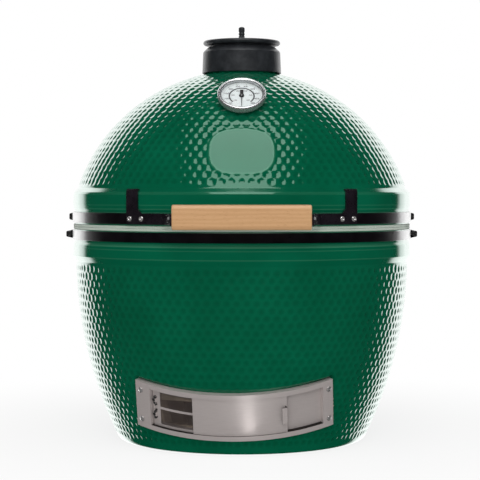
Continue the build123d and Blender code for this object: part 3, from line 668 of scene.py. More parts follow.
def dimples(along, radius, theta, row_at, row_count, row_phase):
    """Depth from 0 to 1 of the nearest dimple. Rows lie at row_at along the shell."""
    step = row_at[1] - row_at[0]
    nearest = np.rint((along - row_at[0]) / step).astype(int)
    best = np.full(np.broadcast(along, theta).shape, -9.0)
    for shift in (-1, 0, 1):
        row = np.clip(nearest + shift, 0, len(row_at) - 1)
        pitch = 2 * math.pi / row_count[row]
        number = np.rint(theta / pitch - row_phase[row])
        key = np.mod(number, row_count[row])
        off_x = radius * (theta - (number + row_phase[row]) * pitch) + 2.0 * (scatter(row, key, 1) - 0.5)
        off_y = along - row_at[row] + 2.0 * (scatter(row, key, 2) - 0.5)
        reach = DIMPLE_R * (0.9 + 0.2 * scatter(row, key, 3))
        best = np.maximum(best, 1 - (off_x**2 + off_y**2) / reach**2)
    return 0.5 * (best + np.sqrt(best**2 + 0.12**2))


def profile_normals(profile):
    """Outward normals of an open section that runs up its outer side."""
    ahead = np.roll(profile, -1, 0)
    behind = np.roll(profile, 1, 0)
    ahead[-1], behind[0] = profile[-1], profile[0]
    tangent = ahead - behind
    tangent /= np.maximum(np.linalg.norm(tangent, axis=1, keepdims=True), 1e-9)
    return np.stack([tangent[:, 1], -tangent[:, 0]], -1)


def shell_points(profile, push):
    """Grid of points of a turned shell, pushed inwards along its normals."""
    theta = np.arange(COLUMNS) * 2 * math.pi / COLUMNS
    normals = profile_normals(profile)
    radius = profile[:, 0][:, None] - push * normals[:, 0][:, None]
    height = profile[:, 1][:, None] - push * normals[:, 1][:, None]
    return np.stack([radius * np.sin(theta), -radius * np.cos(theta), height], -1)


def store(mesh, name, values):
    """Keep one value for each point on a mesh."""
    mesh.attributes.new(name, "FLOAT", "POINT").data.foreach_set("value", values.astype(np.float32).ravel())


def door_frame_coordinates(points):
    """Azimuth, radius and height of points about the draft door's own axis."""
    local = moved(points, DOOR_SITE.inverted())
    x, y, height = local[..., 0], local[..., 1], local[..., 2]
    return np.degrees(np.arctan2(x, -y)), np.hypot(x, y), height


def on_door_land(points):
    """Ease the belly onto the land that carries the draft door. Returns points and how much each moved."""
    azimuth, radius, height = door_frame_coordinates(points)
    front = (np.abs(azimuth) < 60) & (radius > 200)
    middle, half = sum(FRAME_AZ) / 2, (FRAME_AZ[1] - FRAME_AZ[0]) / 2
    beyond = np.hypot(
        np.maximum(np.abs(azimuth - middle) - half, 0) * math.radians(LAND_R),
        np.maximum(np.abs(height) - FRAME_HALF_H, 0))
    share = (1 - smoothstep(1.5, 6.5, beyond)) * front
    a = np.radians(azimuth)
    land = np.stack([LAND_R * np.sin(a), -LAND_R * np.cos(a), height], -1)
    land = moved(land, DOOR_SITE)
    return points + share[..., None] * (land - points), share


def base_ceramic():
    """Belly with dimples, smooth rim, inner wall and floor, and the draft passage."""
    foot_r = wall_radius(FOOT_ROUND, FOOT_ROUND)
    low = -math.asin((WALL_TOP_Z - FOOT_ROUND) / (WALL_ARC_R - FOOT_ROUND))
    high = -math.asin((WALL_TOP_Z - DIMPLED_TO_Z) / WALL_ARC_R)
    foot = [(0, 0), (foot_r - 90, 0), (foot_r - 12, 0)]
    foot += [
        (foot_r + FOOT_ROUND * math.cos(a), FOOT_ROUND + FOOT_ROUND * math.sin(a))
        for a in np.linspace(-math.pi / 2, low, 8)[:-1]
    ]
    rows = int((high - low) * WALL_ARC_R / ROW_STEP)
    belly = [
        (WALL_TOP_R - WALL_ARC_R + WALL_ARC_R * math.cos(a), WALL_TOP_Z + WALL_ARC_R * math.sin(a))
        for a in np.linspace(low, high, rows)
    ]
    rim = rounded([
        belly[-1], (RIM_R - 1.5, 372.5), (RIM_R, 375), (RIM_R, 392), (RIM_R - 0.9, 398.5), (BAND_SEAT_R, 403),
        (BAND_SEAT_R, BASE_TOP_Z), (RIM_BORE_R, BASE_TOP_Z), (RIM_BORE_R, WALL_TOP_Z - 2),
        (wall_radius(WALL_TOP_Z - 2, SHELL_T), WALL_TOP_Z - 2),
    ], 1.6, 3, closed=False)
    rim = edged(rim)[1:]
    inner = [(wall_radius(z, SHELL_T), z) for z in np.linspace(350, PASSAGE_Z[1], 14)]
    inner += [(wall_radius(z, SHELL_T), z) for z in np.linspace(PASSAGE_Z[0], FLOOR_T + 12, 3)]
    floor_corner = (wall_radius(FLOOR_T, SHELL_T), FLOOR_T)
    inner += rounded([inner[-1], floor_corner, (0, FLOOR_T)], 10, 5, closed=False)[1:]
    profile = np.array(foot + belly + rim + inner, float)

    along = np.zeros(len(profile))
    first = len(foot)
    last = first + rows
    along[first:last] = np.arange(rows) * (high - low) * WALL_ARC_R / (rows - 1)
    count = int(along[last - 1] / DIMPLE_ROW) + 1
    row_at = along[last - 1] - 12 - DIMPLE_ROW * np.arange(count)[::-1]
    theta = np.arange(COLUMNS) * 2 * math.pi / COLUMNS
    depth = np.zeros((len(profile), COLUMNS))
    depth[first:last] = dimples(
        along[first:last, None], profile[first:last, 0][:, None], theta[None, :], row_at,
        np.full(count, BASE_DIMPLES), 0.5 * (np.arange(count) % 2))
    fade = smoothstep(2, 9, along) * (1 - smoothstep(along[last - 1] - 7, along[last - 1] - 1, along))
    plain = shell_points(profile, np.zeros_like(depth))
    land_share = on_door_land(plain)[1]
    depth *= fade[:, None] * (1 - smoothstep(0.0, 0.6, land_share))
    outer = (np.arange(len(profile)) < last)[:, None]
    points = shell_points(profile, depth * DIMPLE_DEPTH)
    points = np.where((outer & (land_share > 0))[..., None], on_door_land(points)[0], points)

    rows_total = len(profile)
    faces = grid_faces(rows_total, COLUMNS)
    row_of, column_of = faces[:, 0] // COLUMNS, faces[:, 0] % COLUMNS
    step = 360 / COLUMNS
    left = int(round((PASSAGE_AZ - PASSAGE_HALF) / step))
    right = int(round((PASSAGE_AZ + PASSAGE_HALF) / step))
    outer_rows = [first + int(np.argmin(abs(profile[first:last, 1] - z))) for z in PASSAGE_Z]
    inner_first = last + len(rim)
    inner_rows = [inner_first + int(np.argmin(abs(profile[inner_first:, 1] - z))) for z in PASSAGE_Z]
    turned_column = (column_of + COLUMNS // 2) % COLUMNS - COLUMNS // 2
    between = (turned_column >= left) & (turned_column < right)
    on_outer = (row_of >= outer_rows[0]) & (row_of < outer_rows[1])
    on_inner = (row_of >= inner_rows[1]) & (row_of < inner_rows[0])
    kept = faces[~(between & (on_outer | on_inner))].tolist()

    def corner(row, column):
        return row * COLUMNS + column % COLUMNS

    for column in range(left, right):
        for out_row, in_row in zip(outer_rows, inner_rows):
            kept.append([corner(out_row, column), corner(out_row, column + 1),
                         corner(in_row, column + 1), corner(in_row, column)])
    for column in (left, right):
        out_side = [corner(row, column) for row in range(outer_rows[0], outer_rows[1] + 1)]
        in_side = [corner(row, column) for row in range(inner_rows[1], inner_rows[0] + 1)]
        kept.append(out_side + in_side)
    mesh = mesh_from(points.reshape(-1, 3), kept, "base_ceramic")
    # rim edges made paler: thinner glaze plus a painted highlight
    thin_glaze_highlight = np.zeros((rows_total, COLUMNS))
    rim_rows = range(last, last + len(rim))
    thin_glaze_highlight[list(rim_rows)] = edge_paleness(profile, rim_rows)[:, None]
    store(mesh, "pool", depth)
    store(mesh, "thin_glaze_highlight", thin_glaze_highlight)
    mesh = tidy_mesh(mesh)

    def unglazed(centre, normal):
        radius, z = math.hypot(centre.x, centre.y) / MM, centre.z / MM
        outwards = (centre.x * normal.x + centre.y * normal.y) / (radius * MM + 1e-6)
        in_passage = PASSAGE_Z[0] - 3 < z < PASSAGE_Z[1] + 3 and abs(outwards) < 0.5
        inner_side = FLOOR_T - 1 < z < BASE_TOP_Z - 0.4 and radius < RIM_BORE_R + 0.5
        azimuth, out, w = door_frame_coordinates(np.array(centre) / MM)
        in_front = SCREEN_FROM_AZ < azimuth < WINDOW_AZ[1] + 3
        behind_doors = in_front and abs(w) < CHANNEL_W and out > LAND_R - 3
        return in_passage or behind_doors or inner_side and (outwards < 0 or normal.z > 0.3)

    raw_inside(mesh, unglazed)
    return piece("base_ceramic", mesh, "base", ["base_shell"], "green_glaze",
                 [LOOK["green_glaze"], LOOK["fired_clay"]])


def edged(points, near=1.7):
    """Open section with two points added on each long flat, close to its ends."""
    made = [points[0]]
    for a, b in zip(points, points[1:]):
        a, b = np.array(a, float), np.array(b, float)
        length = np.linalg.norm(b - a)
        if length > 3 * near:
            ahead = (b - a) / length
            made += [tuple(a + near * ahead), tuple(b - near * ahead)]
        made.append(tuple(b))
    return made


def edge_paleness(profile, rows):
    """Paleness up to 0.45 on the rounded edges of a rim, where the glaze thins and a painted highlight lies,
    and 0 on its flats.
    """
    values = []
    for row in rows:
        before = profile[row] - profile[row - 1]
        after = profile[(row + 1) % len(profile)] - profile[row]
        turn = abs(math.atan2(before[0] * after[1] - before[1] * after[0], before @ after))
        values.append(0.45 * min(1.0, turn / math.radians(28)))
    return np.array(values)


def raw_inside(mesh, inside):
    """Give the faces of the unglazed inner side the second material."""
    for face in mesh.polygons:
        if inside(face.center, face.normal):
            face.material_index = 1


def dome_ceramic():
    """Dome with dimples, a smooth rim, a smooth field in front and the flue neck."""
    shoulder_r = math.sqrt(DOME_R**2 - (SHOULDER_Z + 10 - DOME_CENTRE_Z) ** 2)
    start = math.acos(shoulder_r / DOME_R)
    end = math.acos(NECK_R / DOME_R)
    inner_r = DOME_R - DOME_T
    rim = rounded([
        (RIM_BORE_R, DOME_BOTTOM_Z + 30), (RIM_BORE_R, DOME_BOTTOM_Z), (BAND_SEAT_R, DOME_BOTTOM_Z),
        (BAND_SEAT_R, 463), (RIM_R - 0.9, 469.5), (RIM_R, 477), (RIM_R, SHOULDER_Z - 2),
        (RIM_R - 1.5, SHOULDER_Z + 1.5), (shoulder_r, SHOULDER_Z + 10),
    ], 1.6, 3, closed=False)
    rim = edged(rim)[:-1]
    rows = int((end - start) * DOME_R / ROW_STEP)
    crown = [
        (DOME_R * math.cos(a), DOME_CENTRE_Z + DOME_R * math.sin(a)) for a in np.linspace(start, end, rows)
    ]
    neck = [(NECK_R, z) for z in np.linspace(crown[-1][1] + 4, NECK_TOP_Z - 4, 8)]
    neck += rounded(
        [neck[-1], (NECK_R, NECK_TOP_Z), (FLUE_R, NECK_TOP_Z), (FLUE_R, 740)], 2, 3, closed=False)[1:]
    inner = [
        (inner_r * math.cos(a), DOME_CENTRE_Z + inner_r * math.sin(a))
        for a in np.linspace(math.acos(FLUE_R / inner_r), math.acos(RIM_BORE_R / inner_r), 24)
    ]
    profile = np.array(rim + crown + neck + inner, float)

    theta = np.arange(COLUMNS) * 2 * math.pi / COLUMNS
    first = len(rim)
    last = first + rows
    along = np.zeros(len(profile))
    along[first:last] = np.arange(rows) * (end - start) * DOME_R / (rows - 1)
    count = int(along[last - 1] / DIMPLE_ROW) + 1
    row_at = 12 + DIMPLE_ROW * np.arange(count)
    row_radius = DOME_R * np.cos(start + row_at / DOME_R)
    row_count = np.maximum(np.rint(2 * math.pi * row_radius / DIMPLE_STEP), 6).astype(int)
    depth = np.zeros((len(profile), COLUMNS))
    depth[first:last] = dimples(
        along[first:last, None], profile[first:last, 0][:, None], theta[None, :], row_at,
        row_count, 0.5 * (np.arange(count) % 2))
    plain = shell_points(profile, np.zeros_like(depth))
    field_up = math.asin((MEDALLION_Z - DOME_CENTRE_Z) / DOME_R)
    from_field = past_field(plain, field_up)
    from_dial = surface_distance(plain, math.radians(DIAL_ANGLE))
    fade = smoothstep(3, 10, along) * (1 - smoothstep(along[last - 1] - 5, along[last - 1] - 1, along))
    depth *= fade[:, None] * smoothstep(-4, 1, from_field)
    depth *= smoothstep(CASE_R - 10, CASE_R - 4, from_dial)
    outer = np.zeros((len(profile), 1))
    outer[first:last] = 1
    lip = np.exp(-((from_field + 5) / 1.5) ** 2) * outer
    points = shell_points(profile, depth * DIMPLE_DEPTH - 0.45 * lip)
    mesh = mesh_from(points.reshape(-1, 3), grid_faces(len(profile), COLUMNS, wrap_rows=True), "dome_ceramic")
    # rim edges and the field's lip made paler: thinner glaze plus a painted highlight
    thin_glaze_highlight = np.zeros((len(profile), COLUMNS))
    thin_glaze_highlight[:first] = edge_paleness(profile, range(first))[:, None]
    store(mesh, "pool", depth)
    store(mesh, "thin_glaze_highlight", np.maximum(thin_glaze_highlight, 0.22 * lip))
    mesh = tidy_mesh(mesh)

    def unglazed(centre, normal):
        up = centre.z / MM - DOME_CENTRE_Z
        flat = math.hypot(centre.x, centre.y) / MM
        in_flue = flat < FLUE_R + 1 and up > 0
        inwards = normal.x * centre.x + normal.y * centre.y + normal.z * up * MM < 0
        above_rim = centre.z / MM > DOME_BOTTOM_Z + 0.5
        return in_flue or math.hypot(flat, up) < inner_r + 2 and above_rim and inwards

    raw_inside(mesh, unglazed)
    return piece("dome_ceramic", mesh, "dome", ["dome_shell"], "green_glaze",
                 [LOOK["green_glaze"], LOOK["fired_clay"]])


def dome_rays(points):
    """Directions of length 1 from the dome's centre to points."""
    ray = points - np.array([0, 0, DOME_CENTRE_Z])
    return ray / np.linalg.norm(ray, axis=-1, keepdims=True)


def surface_distance(points, elevation):
    """Distance over the dome from the point of its front at an elevation."""
    spot = np.array([0, -math.cos(elevation), math.sin(elevation)])
    return DOME_R * np.arccos(np.clip(dome_rays(points) @ spot, -1, 1))


def past_field(points, elevation):
    """How far points lie outside the smooth field on the dome's front, less than 0 inside it."""
    ray = dome_rays(points)
    aside = DOME_R * ray[..., 0]
    up = DOME_R * (ray[..., 2] * math.cos(elevation) + ray[..., 1] * math.sin(elevation))
    front = ray[..., 2] * math.sin(elevation) - ray[..., 1] * math.cos(elevation)
    half_x, half_y = FIELD_HALF
    ratio = ((np.abs(aside) / half_x) ** 2.7 + (np.abs(up) / half_y) ** 2.7) ** (1 / 2.7)
    return np.where(front > 0, (ratio - 1) * (half_x + half_y) / 2, DOME_R)


def felt_ring(name, z_low, z_high, body, node):
    """Pressed felt ring with uneven, slightly furry faces."""
    section = rounded([(311, z_low), (342.3, z_low), (342.3, z_high), (311, z_high)], 1.1, 3)
    across = [(r, z_low) for r in (318, 325, 332)]
    corners = len(section) // 4
    section = section[:corners] + across + section[corners:3 * corners] + [
        (r, z_high) for r in (332, 325, 318)] + section[3 * corners:]
    points, faces = turned(section, 1200)
    angle = np.arctan2(points[:, 0], -points[:, 1])
    step = np.rint(angle * 1200 / (2 * math.pi))
    fuzz = scatter(step, np.rint(points[:, 2] * 7), 5) - 0.5
    wave = np.sin(angle * 37) * 0.12 + np.sin(angle * 91 + 1) * 0.08
    outward = points[:, :2] / np.linalg.norm(points[:, :2], axis=1, keepdims=True)
    edge = smoothstep(338, 342, np.linalg.norm(points[:, :2], axis=1))
    points[:, :2] += outward * (edge * (fuzz * 0.5 + wave - 0.1))[:, None]
    return piece(name, tidy_mesh(mesh_from(points, faces)), body, [node], "felt", weighted=False)


base_ceramic()
dome_ceramic()
felt_ring("base_felt", BASE_TOP_Z, PARTING_Z - 0.15, "base", "base_gasket")
felt_ring("dome_felt", PARTING_Z + 0.15, DOME_BOTTOM_Z, "dome", "dome_gasket")


# --- bands ------------------------------------------------------------------
def plan_point(azimuth, out, along=0.0):
    """Plan point at a radius, moved sideways towards a larger azimuth."""
    a = math.radians(azimuth)
    return (out * math.sin(a) + along * math.cos(a), -out * math.cos(a) + along * math.sin(a))


def ear_path(split_az, side):
    """Plan of a band's end, from its arc to the tip of the ear that turns outwards."""
    middle, bend = BAND_R + BAND_T / 2, EAR_BEND
    inset = EAR_GAP + BAND_T / 2
    turn = [
        (middle + bend - bend * math.cos(u), inset + bend - bend * math.sin(u))
        for u in np.linspace(0, math.pi / 2, 7)
    ]
    turn += [(r, inset) for r in (350, 353.5, 356.5, 358.4, EAR_OUT_R)]
    return [plan_point(split_az, out, side * along) for out, along in turn]


def swept(path, section, height_share):
    """Points and faces of a section of (outwards, height) carried along an open plan path."""
    path = np.array(path, float)
    ahead = np.diff(path, axis=0)
    ahead /= np.linalg.norm(ahead, axis=1, keepdims=True)
    before, after = np.vstack([ahead[:1], ahead]), np.vstack([ahead, ahead[-1:]])
    middle = before + after
    middle /= np.linalg.norm(middle, axis=1, keepdims=True)
    out = np.stack([middle[:, 1], -middle[:, 0]], -1) / (middle * after).sum(1)[:, None]
    section = np.array(section, float)
    plan = path[:, None, :] + out[:, None, :] * section[None, :, 0, None]
    share = np.array(height_share, float)
    centre = (section[:, 1].min() + section[:, 1].max()) / 2
    height = (centre + share[:, None] * (section[None, :, 1] - centre))[..., None]
    points = np.concatenate([plan, height], -1).reshape(-1, 3)
    return points, capped(len(path), len(section))


def strip_section(thickness, z_range):
    """Rounded section of a flat steel strip that stands on edge."""
    half = thickness / 2
    low, high = z_range
    return rounded([(-half, low), (half, low), (half, high), (-half, high)], STRIP_EDGE, 3)


def band_half(name, z_range, first_az, last_az, body, node):
    """Half of a band, with an ear at each end."""
    clear = math.degrees(math.asin((EAR_GAP + BAND_T / 2 + EAR_BEND) / BAND_R))
    middle = BAND_R + BAND_T / 2
    arc = [plan_point(az, middle) for az in np.linspace(first_az + clear, last_az - clear, 190)]
    path = ear_path(first_az, 1)[::-1][:-1] + arc + ear_path(last_az, -1)[1:]
    height_share = EAR_TAPER[::-1][:-1] + [1] * len(arc) + EAR_TAPER[1:]
    points, faces = swept(path, strip_section(BAND_T, z_range), height_share)
    return piece(name, tidy_mesh(mesh_from(points, faces)), body, [node], "black_band")


for level, z_range, split, body in BANDS:
    band_half(f"{level}_band_front_half", z_range, -split, split, body, f"{level}_band_front")
    band_half(f"{level}_band_rear_half", z_range, split, 360 - split, body, f"{level}_band_rear")


# --- fasteners --------------------------------------------------------------
def axis_site(origin, axis):
    """Matrix of a place whose Z points along an axis."""
    return Matrix.Translation(Vector(origin)) @ Vector(axis).to_track_quat("Z", "Y").to_matrix().to_4x4()


def hexagon_head(across, height, shank_r, shank_len):
    """Section of a hexagon bolt with a chamfered head."""
    half = across / 2
    return [
        (0, height - 0.5), (half * 0.55, height - 0.5), (half * 0.62, height), (half * 0.97, height),
        (half, height - half * 0.12, 1), (half, 0.4, 1), (half * 0.96, 0), (shank_r + 0.2, 0),
        (shank_r, -0.3), (shank_r, -shank_len + 0.6), (shank_r - 0.6, -shank_len), (0, -shank_len),
    ]


def hexagon_nut(across, height, bore):
    """Section of a hexagon nut, chamfered on both faces."""
    half = across / 2
    return [
        (bore, 0.5), (bore + 0.5, 0), (half * 0.96, 0), (half, half * 0.12, 1),
        (half, height - half * 0.12, 1), (half * 0.96, height), (bore + 0.5, height), (bore, height - 0.5),
    ]


def pan_head(radius, height, socket, shank_r, shank_len):
    """Section of a domed screw head with a hexagon socket."""
    dome = [
        (radius * math.sin(u) if u < 1.5 else radius, height * (0.32 + 0.68 * math.cos(u)))
        for u in np.linspace(0.42, math.pi / 2, 7)
    ]
    top = dome[0][1]
    return [
        (0, top - height * 0.55), (socket * 0.9, top - height * 0.5, 1), (socket, top - 0.2, 1),
        (socket * 1.18, top + 0.02), *dome, (radius, 0.25), (radius - 0.25, 0), (shank_r, 0),
        (shank_r, -shank_len), (0, -shank_len),
    ]


def fasteners(name, section, sites, body, node, slot, closed=False, segments=48):
    """One piece from the same turned section at several places."""
    points, faces = turned(section, segments, closed)
    parts = [(moved(points, site), faces) for site in sites]
    return piece(name, joined(parts), body, [node], slot)


def both_sides(origin, axis):
    """The same place on the right and on the left."""
    x, y, z = origin
    u, v, w = axis
    return [axis_site((x, y, z), (u, v, w)), axis_site((-x, y, z), (-u, v, w))]


for level, z_range, split, body in BANDS:
    face_out = EAR_GAP + BAND_T
    forward = plan_point(split, 0, -1)
    spot = plan_point(split, BAND_R + 10, -face_out)
    fasteners(f"{level}_clamp_bolts", hexagon_head(CLAMP_ACROSS, 4, 3, 2 * face_out + 8),
              both_sides((*spot, sum(z_range) / 2), (*forward, 0)), body,
              f"{level}_band_bolts", "black_fastener")
    spot = plan_point(split, BAND_R + 10, face_out)
    fasteners(f"{level}_clamp_nuts", hexagon_nut(CLAMP_ACROSS, 5, 3.05),
              both_sides((*spot, sum(z_range) / 2), (-forward[0], -forward[1], 0)), body,
              f"{level}_band_nuts", "black_fastener", closed=True)

draft_sites = [
    DOOR_SITE @ upright(az, LIP_OUT_R, w) for az in DRAFT_SCREW_AZ for w in DRAFT_SCREW_W
]
fasteners("draft_frame_screws", pan_head(5.5, 3.1, 1.9, 2.5, 24), draft_sites,
          "base", "draft_screws", "zinc_fastener")
handle_sites = [upright(side * az, STRAP_R, BOLT_Z) for side in (-1, 1) for az in HANDLE_SCREW_AZ]
fasteners("handle_strap_screws", pan_head(5, 3, 1.7, 3, 6.5), handle_sites,
          "dome", "handle_screws", "zinc_fastener")
plate_r = BAND_R + BAND_T + 0.2 + HINGE_PLATE_T
for level, z, spread_az, body in HINGE_SCREWS:
    sites = [upright(180 + side * az, plate_r, z) for side in (-1, 1) for az in spread_az]
    fasteners(f"hinge_{level}_plate_screws", pan_head(5.5, 3.2, 1.8, 3, 7.2), sites, body,
              f"hinge_{level}_screws", "zinc_fastener")
fasteners("grip_lag_screws", hexagon_head(11, 4.5, 3, 43),
          both_sides((GRIP_HALF + STRAP_T, GRIP_Y, BOLT_Z), (1, 0, 0)),
          "dome", "handle_lag_screws", "black_fastener")
fasteners("hinge_nuts", hexagon_nut(18, 9, PIN_R + 0.05),
          both_sides((HINGE_NUT_X, HINGE_Y, HINGE_Z), (1, 0, 0)),
          "base", "hinge_pin_nuts", "zinc_fastener", closed=True)
fasteners("disc_pivot_screw", pan_head(5.5, 3, 1.9, 3, 18),
          [axis_site((0, PIVOT_Y, DISC_TOP_Z - 0.7), (0, 0, 1))],
          "vent_cap", "cap_pivot_screw", "black_fastener")


# --- hinge ------------------------------------------------------------------
def tube(path, radius, sides=10):
    """Points and faces of a round wire along a path, with closed ends."""
    path = np.array(path, float)
    ahead = np.gradient(path, axis=0)
    ahead /= np.linalg.norm(ahead, axis=1, keepdims=True)
    side = np.cross(ahead[0], (0.31, 0.17, 0.93))
    frames = []
    for direction in ahead:
        side = side - (side @ direction) * direction
        side /= np.linalg.norm(side)
        frames.append((side, np.cross(direction, side)))
    angles = np.arange(sides) * 2 * math.pi / sides
    across = np.array([f[0] for f in frames])[:, None] * np.cos(angles)[None, :, None]
    across = across + np.array([f[1] for f in frames])[:, None] * np.sin(angles)[None, :, None]
    points = (path[:, None] + radius * across).reshape(-1, 3)
    return points, capped(len(path), sides)


def torsion_spring(name, side, node):
    """Wound spring round the hinge pin, one leg on the base plate and one on the lid plate."""
    start, end = math.radians(-84), math.radians(80 + 10 * 360)
    steps = 10 * 36
    x_start, x_end = SPRING_X[0] + SPRING_WIRE_R, SPRING_X[1] - SPRING_WIRE_R
    coil = []
    for step in range(steps + 1):
        t = step / steps
        a = start + (end - start) * t
        x = x_start + (x_end - x_start) * t
        coil.append((x, HINGE_Y + SPRING_R * math.cos(a), HINGE_Z + SPRING_R * math.sin(a)))
    reach = 32.0
    base_end = np.array(coil[0]) - reach * np.array((0, math.sin(-start), math.cos(start)))
    lid_end = np.array(coil[-1]) + 37 * np.array((0, -math.sin(end), math.cos(end)))
    path = [tuple(base_end + (np.array(coil[0]) - base_end) * t) for t in np.linspace(0, 0.97, 8)]
    path += coil
    path += [tuple(np.array(coil[-1]) + (lid_end - np.array(coil[-1])) * t) for t in np.linspace(0.03, 1, 8)]
    points, faces = tube([(side * x, y, z) for x, y, z in path], SPRING_WIRE_R, 12)
    mesh = tidy_mesh(mesh_from(points, faces))
    mesh.shade_smooth()
    mesh.materials.append(LOOK["spring_steel"])
    made = in_scene(name, mesh)
    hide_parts(node)
    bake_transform(made)
    return made


torsion_spring("spring_left", -1, "hinge_spring_left")
torsion_spring("spring_right", 1, "hinge_spring_right")
for node, width, body, slot in (
    ("hinge_base_bracket", 0.7, "base", "black_bracket"),
    ("hinge_lid_bracket", 0.7, "dome", "black_bracket"),
    ("hinge_pin", 0.8, "base", "pin_steel"),
    ("hinge_bushes", 0.4, "dome", "bronze"),
    ("handle_bracket_left", 0.6, "dome", "black_bracket"),
    ("handle_bracket_right", 0.6, "dome", "black_bracket"),
    ("cap_disc", 0.6, "vent_disc", "cast_iron"),
    ("daisy_wheel", 0.5, "vent_wheel", "cast_iron"),
    ("fire_grate", 1.0, "base", "raw_iron"),
    ("thermometer_stem", 0.4, "dome", "pin_steel"),
    ("thermometer_pointer", 0.12, "dial_hand", "pointer_black"),
):
    piece(node + "_finished", refined(node, width), body, [node], slot)


def sooty_frame():
    """Draft frame with painted shade: the back sheet inside its channels, where the doors run, is given dark
    steel.
    """
    mesh = refined("draft_frame", 0.3)
    site = in_metres(DOOR_SITE)
    work = bmesh.new()
    work.from_mesh(mesh)
    for side in (-1, 1):
        level = site @ Vector((0, 0, side * CHANNEL_W * MM))
        across = (site.to_3x3() @ Vector((0, 0, 1))).normalized()
        everything = work.verts[:] + work.edges[:] + work.faces[:]
        bmesh.ops.bisect_plane(work, geom=everything, dist=1e-6, plane_co=level, plane_no=across)
    back = site.inverted()
    for face in work.faces:
        spot = back @ face.calc_center_median() / MM
        # back-sheet faces inside the channels take the dark steel as painted shade
        if CHANNEL_W < abs(spot.z) < FRAME_HALF_H - 1.5 and math.hypot(spot.x, spot.y) < LIP_IN_R:
            face.material_index = 1
    work.to_mesh(mesh)
    work.free()
    return piece("draft_frame_finished", mesh, "base", ["draft_frame"], "stainless",
                 [LOOK["stainless"], LOOK["painted_shade_steel"]])


def door_with_pull(node, width, body, pull_out_r):
    """Sliding door with painted shade: the inner faces of its folded pull get dark steel."""
    mesh = refined(node, width)
    back = in_metres(DOOR_SITE).inverted()
    for face in mesh.polygons:
        spot, normal = back @ face.center / MM, back.to_3x3() @ face.normal
        out = math.hypot(spot.x, spot.y)
        outwards = (spot.x * normal.x + spot.y * normal.y) / out > 0.5
        rightwards = (-spot.y * normal.x + spot.x * normal.y) / out > 0.5
        # inner faces of the pull take the dark steel as painted shade
        if abs(spot.z) < 25 and out > pull_out_r and not (outwards or rightwards):
            face.material_index = 1
    return piece(node + "_finished", mesh, body, [node], "stainless",
                 [LOOK["stainless"], LOOK["painted_shade_steel"]])


def finger_pulls():
    """Small scalloped grips on the screen door's left edge; their black is painted shade that stands in for
    the shadow there.
    """
    parts = []
    for side in (-1, 1):
        for w, radius, shift in ((21.2, 3.3, 0.1), (15.4, 3.6, -0.35), (9.6, 3.2, 0.0), (6.0, 2.2, 0.45)):
            section = [(0, 4.3), (radius - 0.9, 4.3), (radius, 3.4), (radius, 0), (0, 0)]
            points, faces = turned(section, 28, closed=False)
            parts.append((moved(points, DOOR_SITE @ upright(PULL_AZ + shift, PULL_R, side * w)), faces))
    # the black finish of these grips is painted shade
    return piece("screen_finger_pulls", joined(parts), "screen_slider", [], "black_fastener")


sooty_frame()
door_with_pull("draft_door", 0.28, "draft_slider", SOLID_OUT_R + 0.4)
door_with_pull("screen_door", 0.25, "screen_slider", PULL_R + 0.3)
finger_pulls()
for node in [n for n in frame["nodes"] if n.startswith("fire_box")]:
    piece(node + "_finished", refined(node, 1.6, segments=3, dissolve=1.0), "base", [node], "fired_clay")


# --- handle grip ------------------------------------------------------------
def grip():
    """Hardwood bar: rounded section that eases in at its ends."""
    corner, rounding = 9.0, 2.6
    stations = [(-GRIP_HALF, rounding)] + [
        (-GRIP_HALF + rounding * (1 - math.cos(u)), rounding * (1 - math.sin(u)))
        for u in np.linspace(0.25, math.pi / 2, 5)
    ]
    middle = [(x, 0.0) for x in np.linspace(-GRIP_HALF + rounding + 4, GRIP_HALF - rounding - 4, 40)]
    stations = stations + middle + [(-x, inset) for x, inset in reversed(stations)]
    points = []
    for x, inset in stations:
        half_d, half_h = GRIP_D / 2 - inset, GRIP_H / 2 - inset
        bow = 0.35 * math.sin(x / 31.0) + 0.2 * math.sin(x / 11.0 + 2)
        section = rounded([(-half_d, -half_h), (half_d, -half_h), (half_d, half_h), (-half_d, half_h)],
                          corner - inset * 0.6, 8)
        for y, z in section:
            points.append((x, GRIP_Y + y * (1 - 0.004 * abs(bow)), GRIP_Z + z * (1 - 0.003 * abs(bow))))
    faces = capped(len(stations), len(points) // len(stations))
    return piece("wooden_grip", tidy_mesh(mesh_from(points, faces)), "dome", ["handle_grip"], "beech")


grip()


# --- vent cap ---------------------------------------------------------------
def cap_casting():
    """Cast cap: tapered skirt, broken shoulder and raised seat."""
    section = rounded([
        (77, CAP_LOW_Z), (80.5, CAP_LOW_Z), (78.7, 786), (76.7, 789), (68, 797), (64.5, 797),
        (63.7, 798), (63.7, CAP_SEAT_Z), (CAP_MOUTH_R, CAP_SEAT_Z), (CAP_MOUTH_R, 790), (62, 790),
        (66, 784.4), (77, 784.4),
    ], 1.0, 3)
    return piece("vent_cap_casting", turned_mesh(section, 224), "vent_cap", ["cap_body"], "cast_iron")


def knob():
    """Turned knob with three grooves and a collar."""
    low, collar = 801.5, 807.6
    section = [(0, low), (4, low), (4, collar), (9, collar), (9, 809.0), (8.4, 809.6), (6.6, 811)]
    for groove in (814.5, 820.5, 826.5):
        section += [
            (6.25, groove - 1.2), (5.7, groove), (4.9, groove + 0.9), (5.7, groove + 1.8), (6.25, groove + 3),
        ]
    section += [
        (6.25 * math.cos(u) ** 0.7 if u < 1.5 else 0, KNOB_TOP_Z - 4 + 4 * math.sin(u))
        for u in np.linspace(0, math.pi / 2, 9)
    ]
    return piece("vent_knob", turned_mesh(section, 64, closed=False), "vent_disc", ["cap_knob"], "cast_iron")


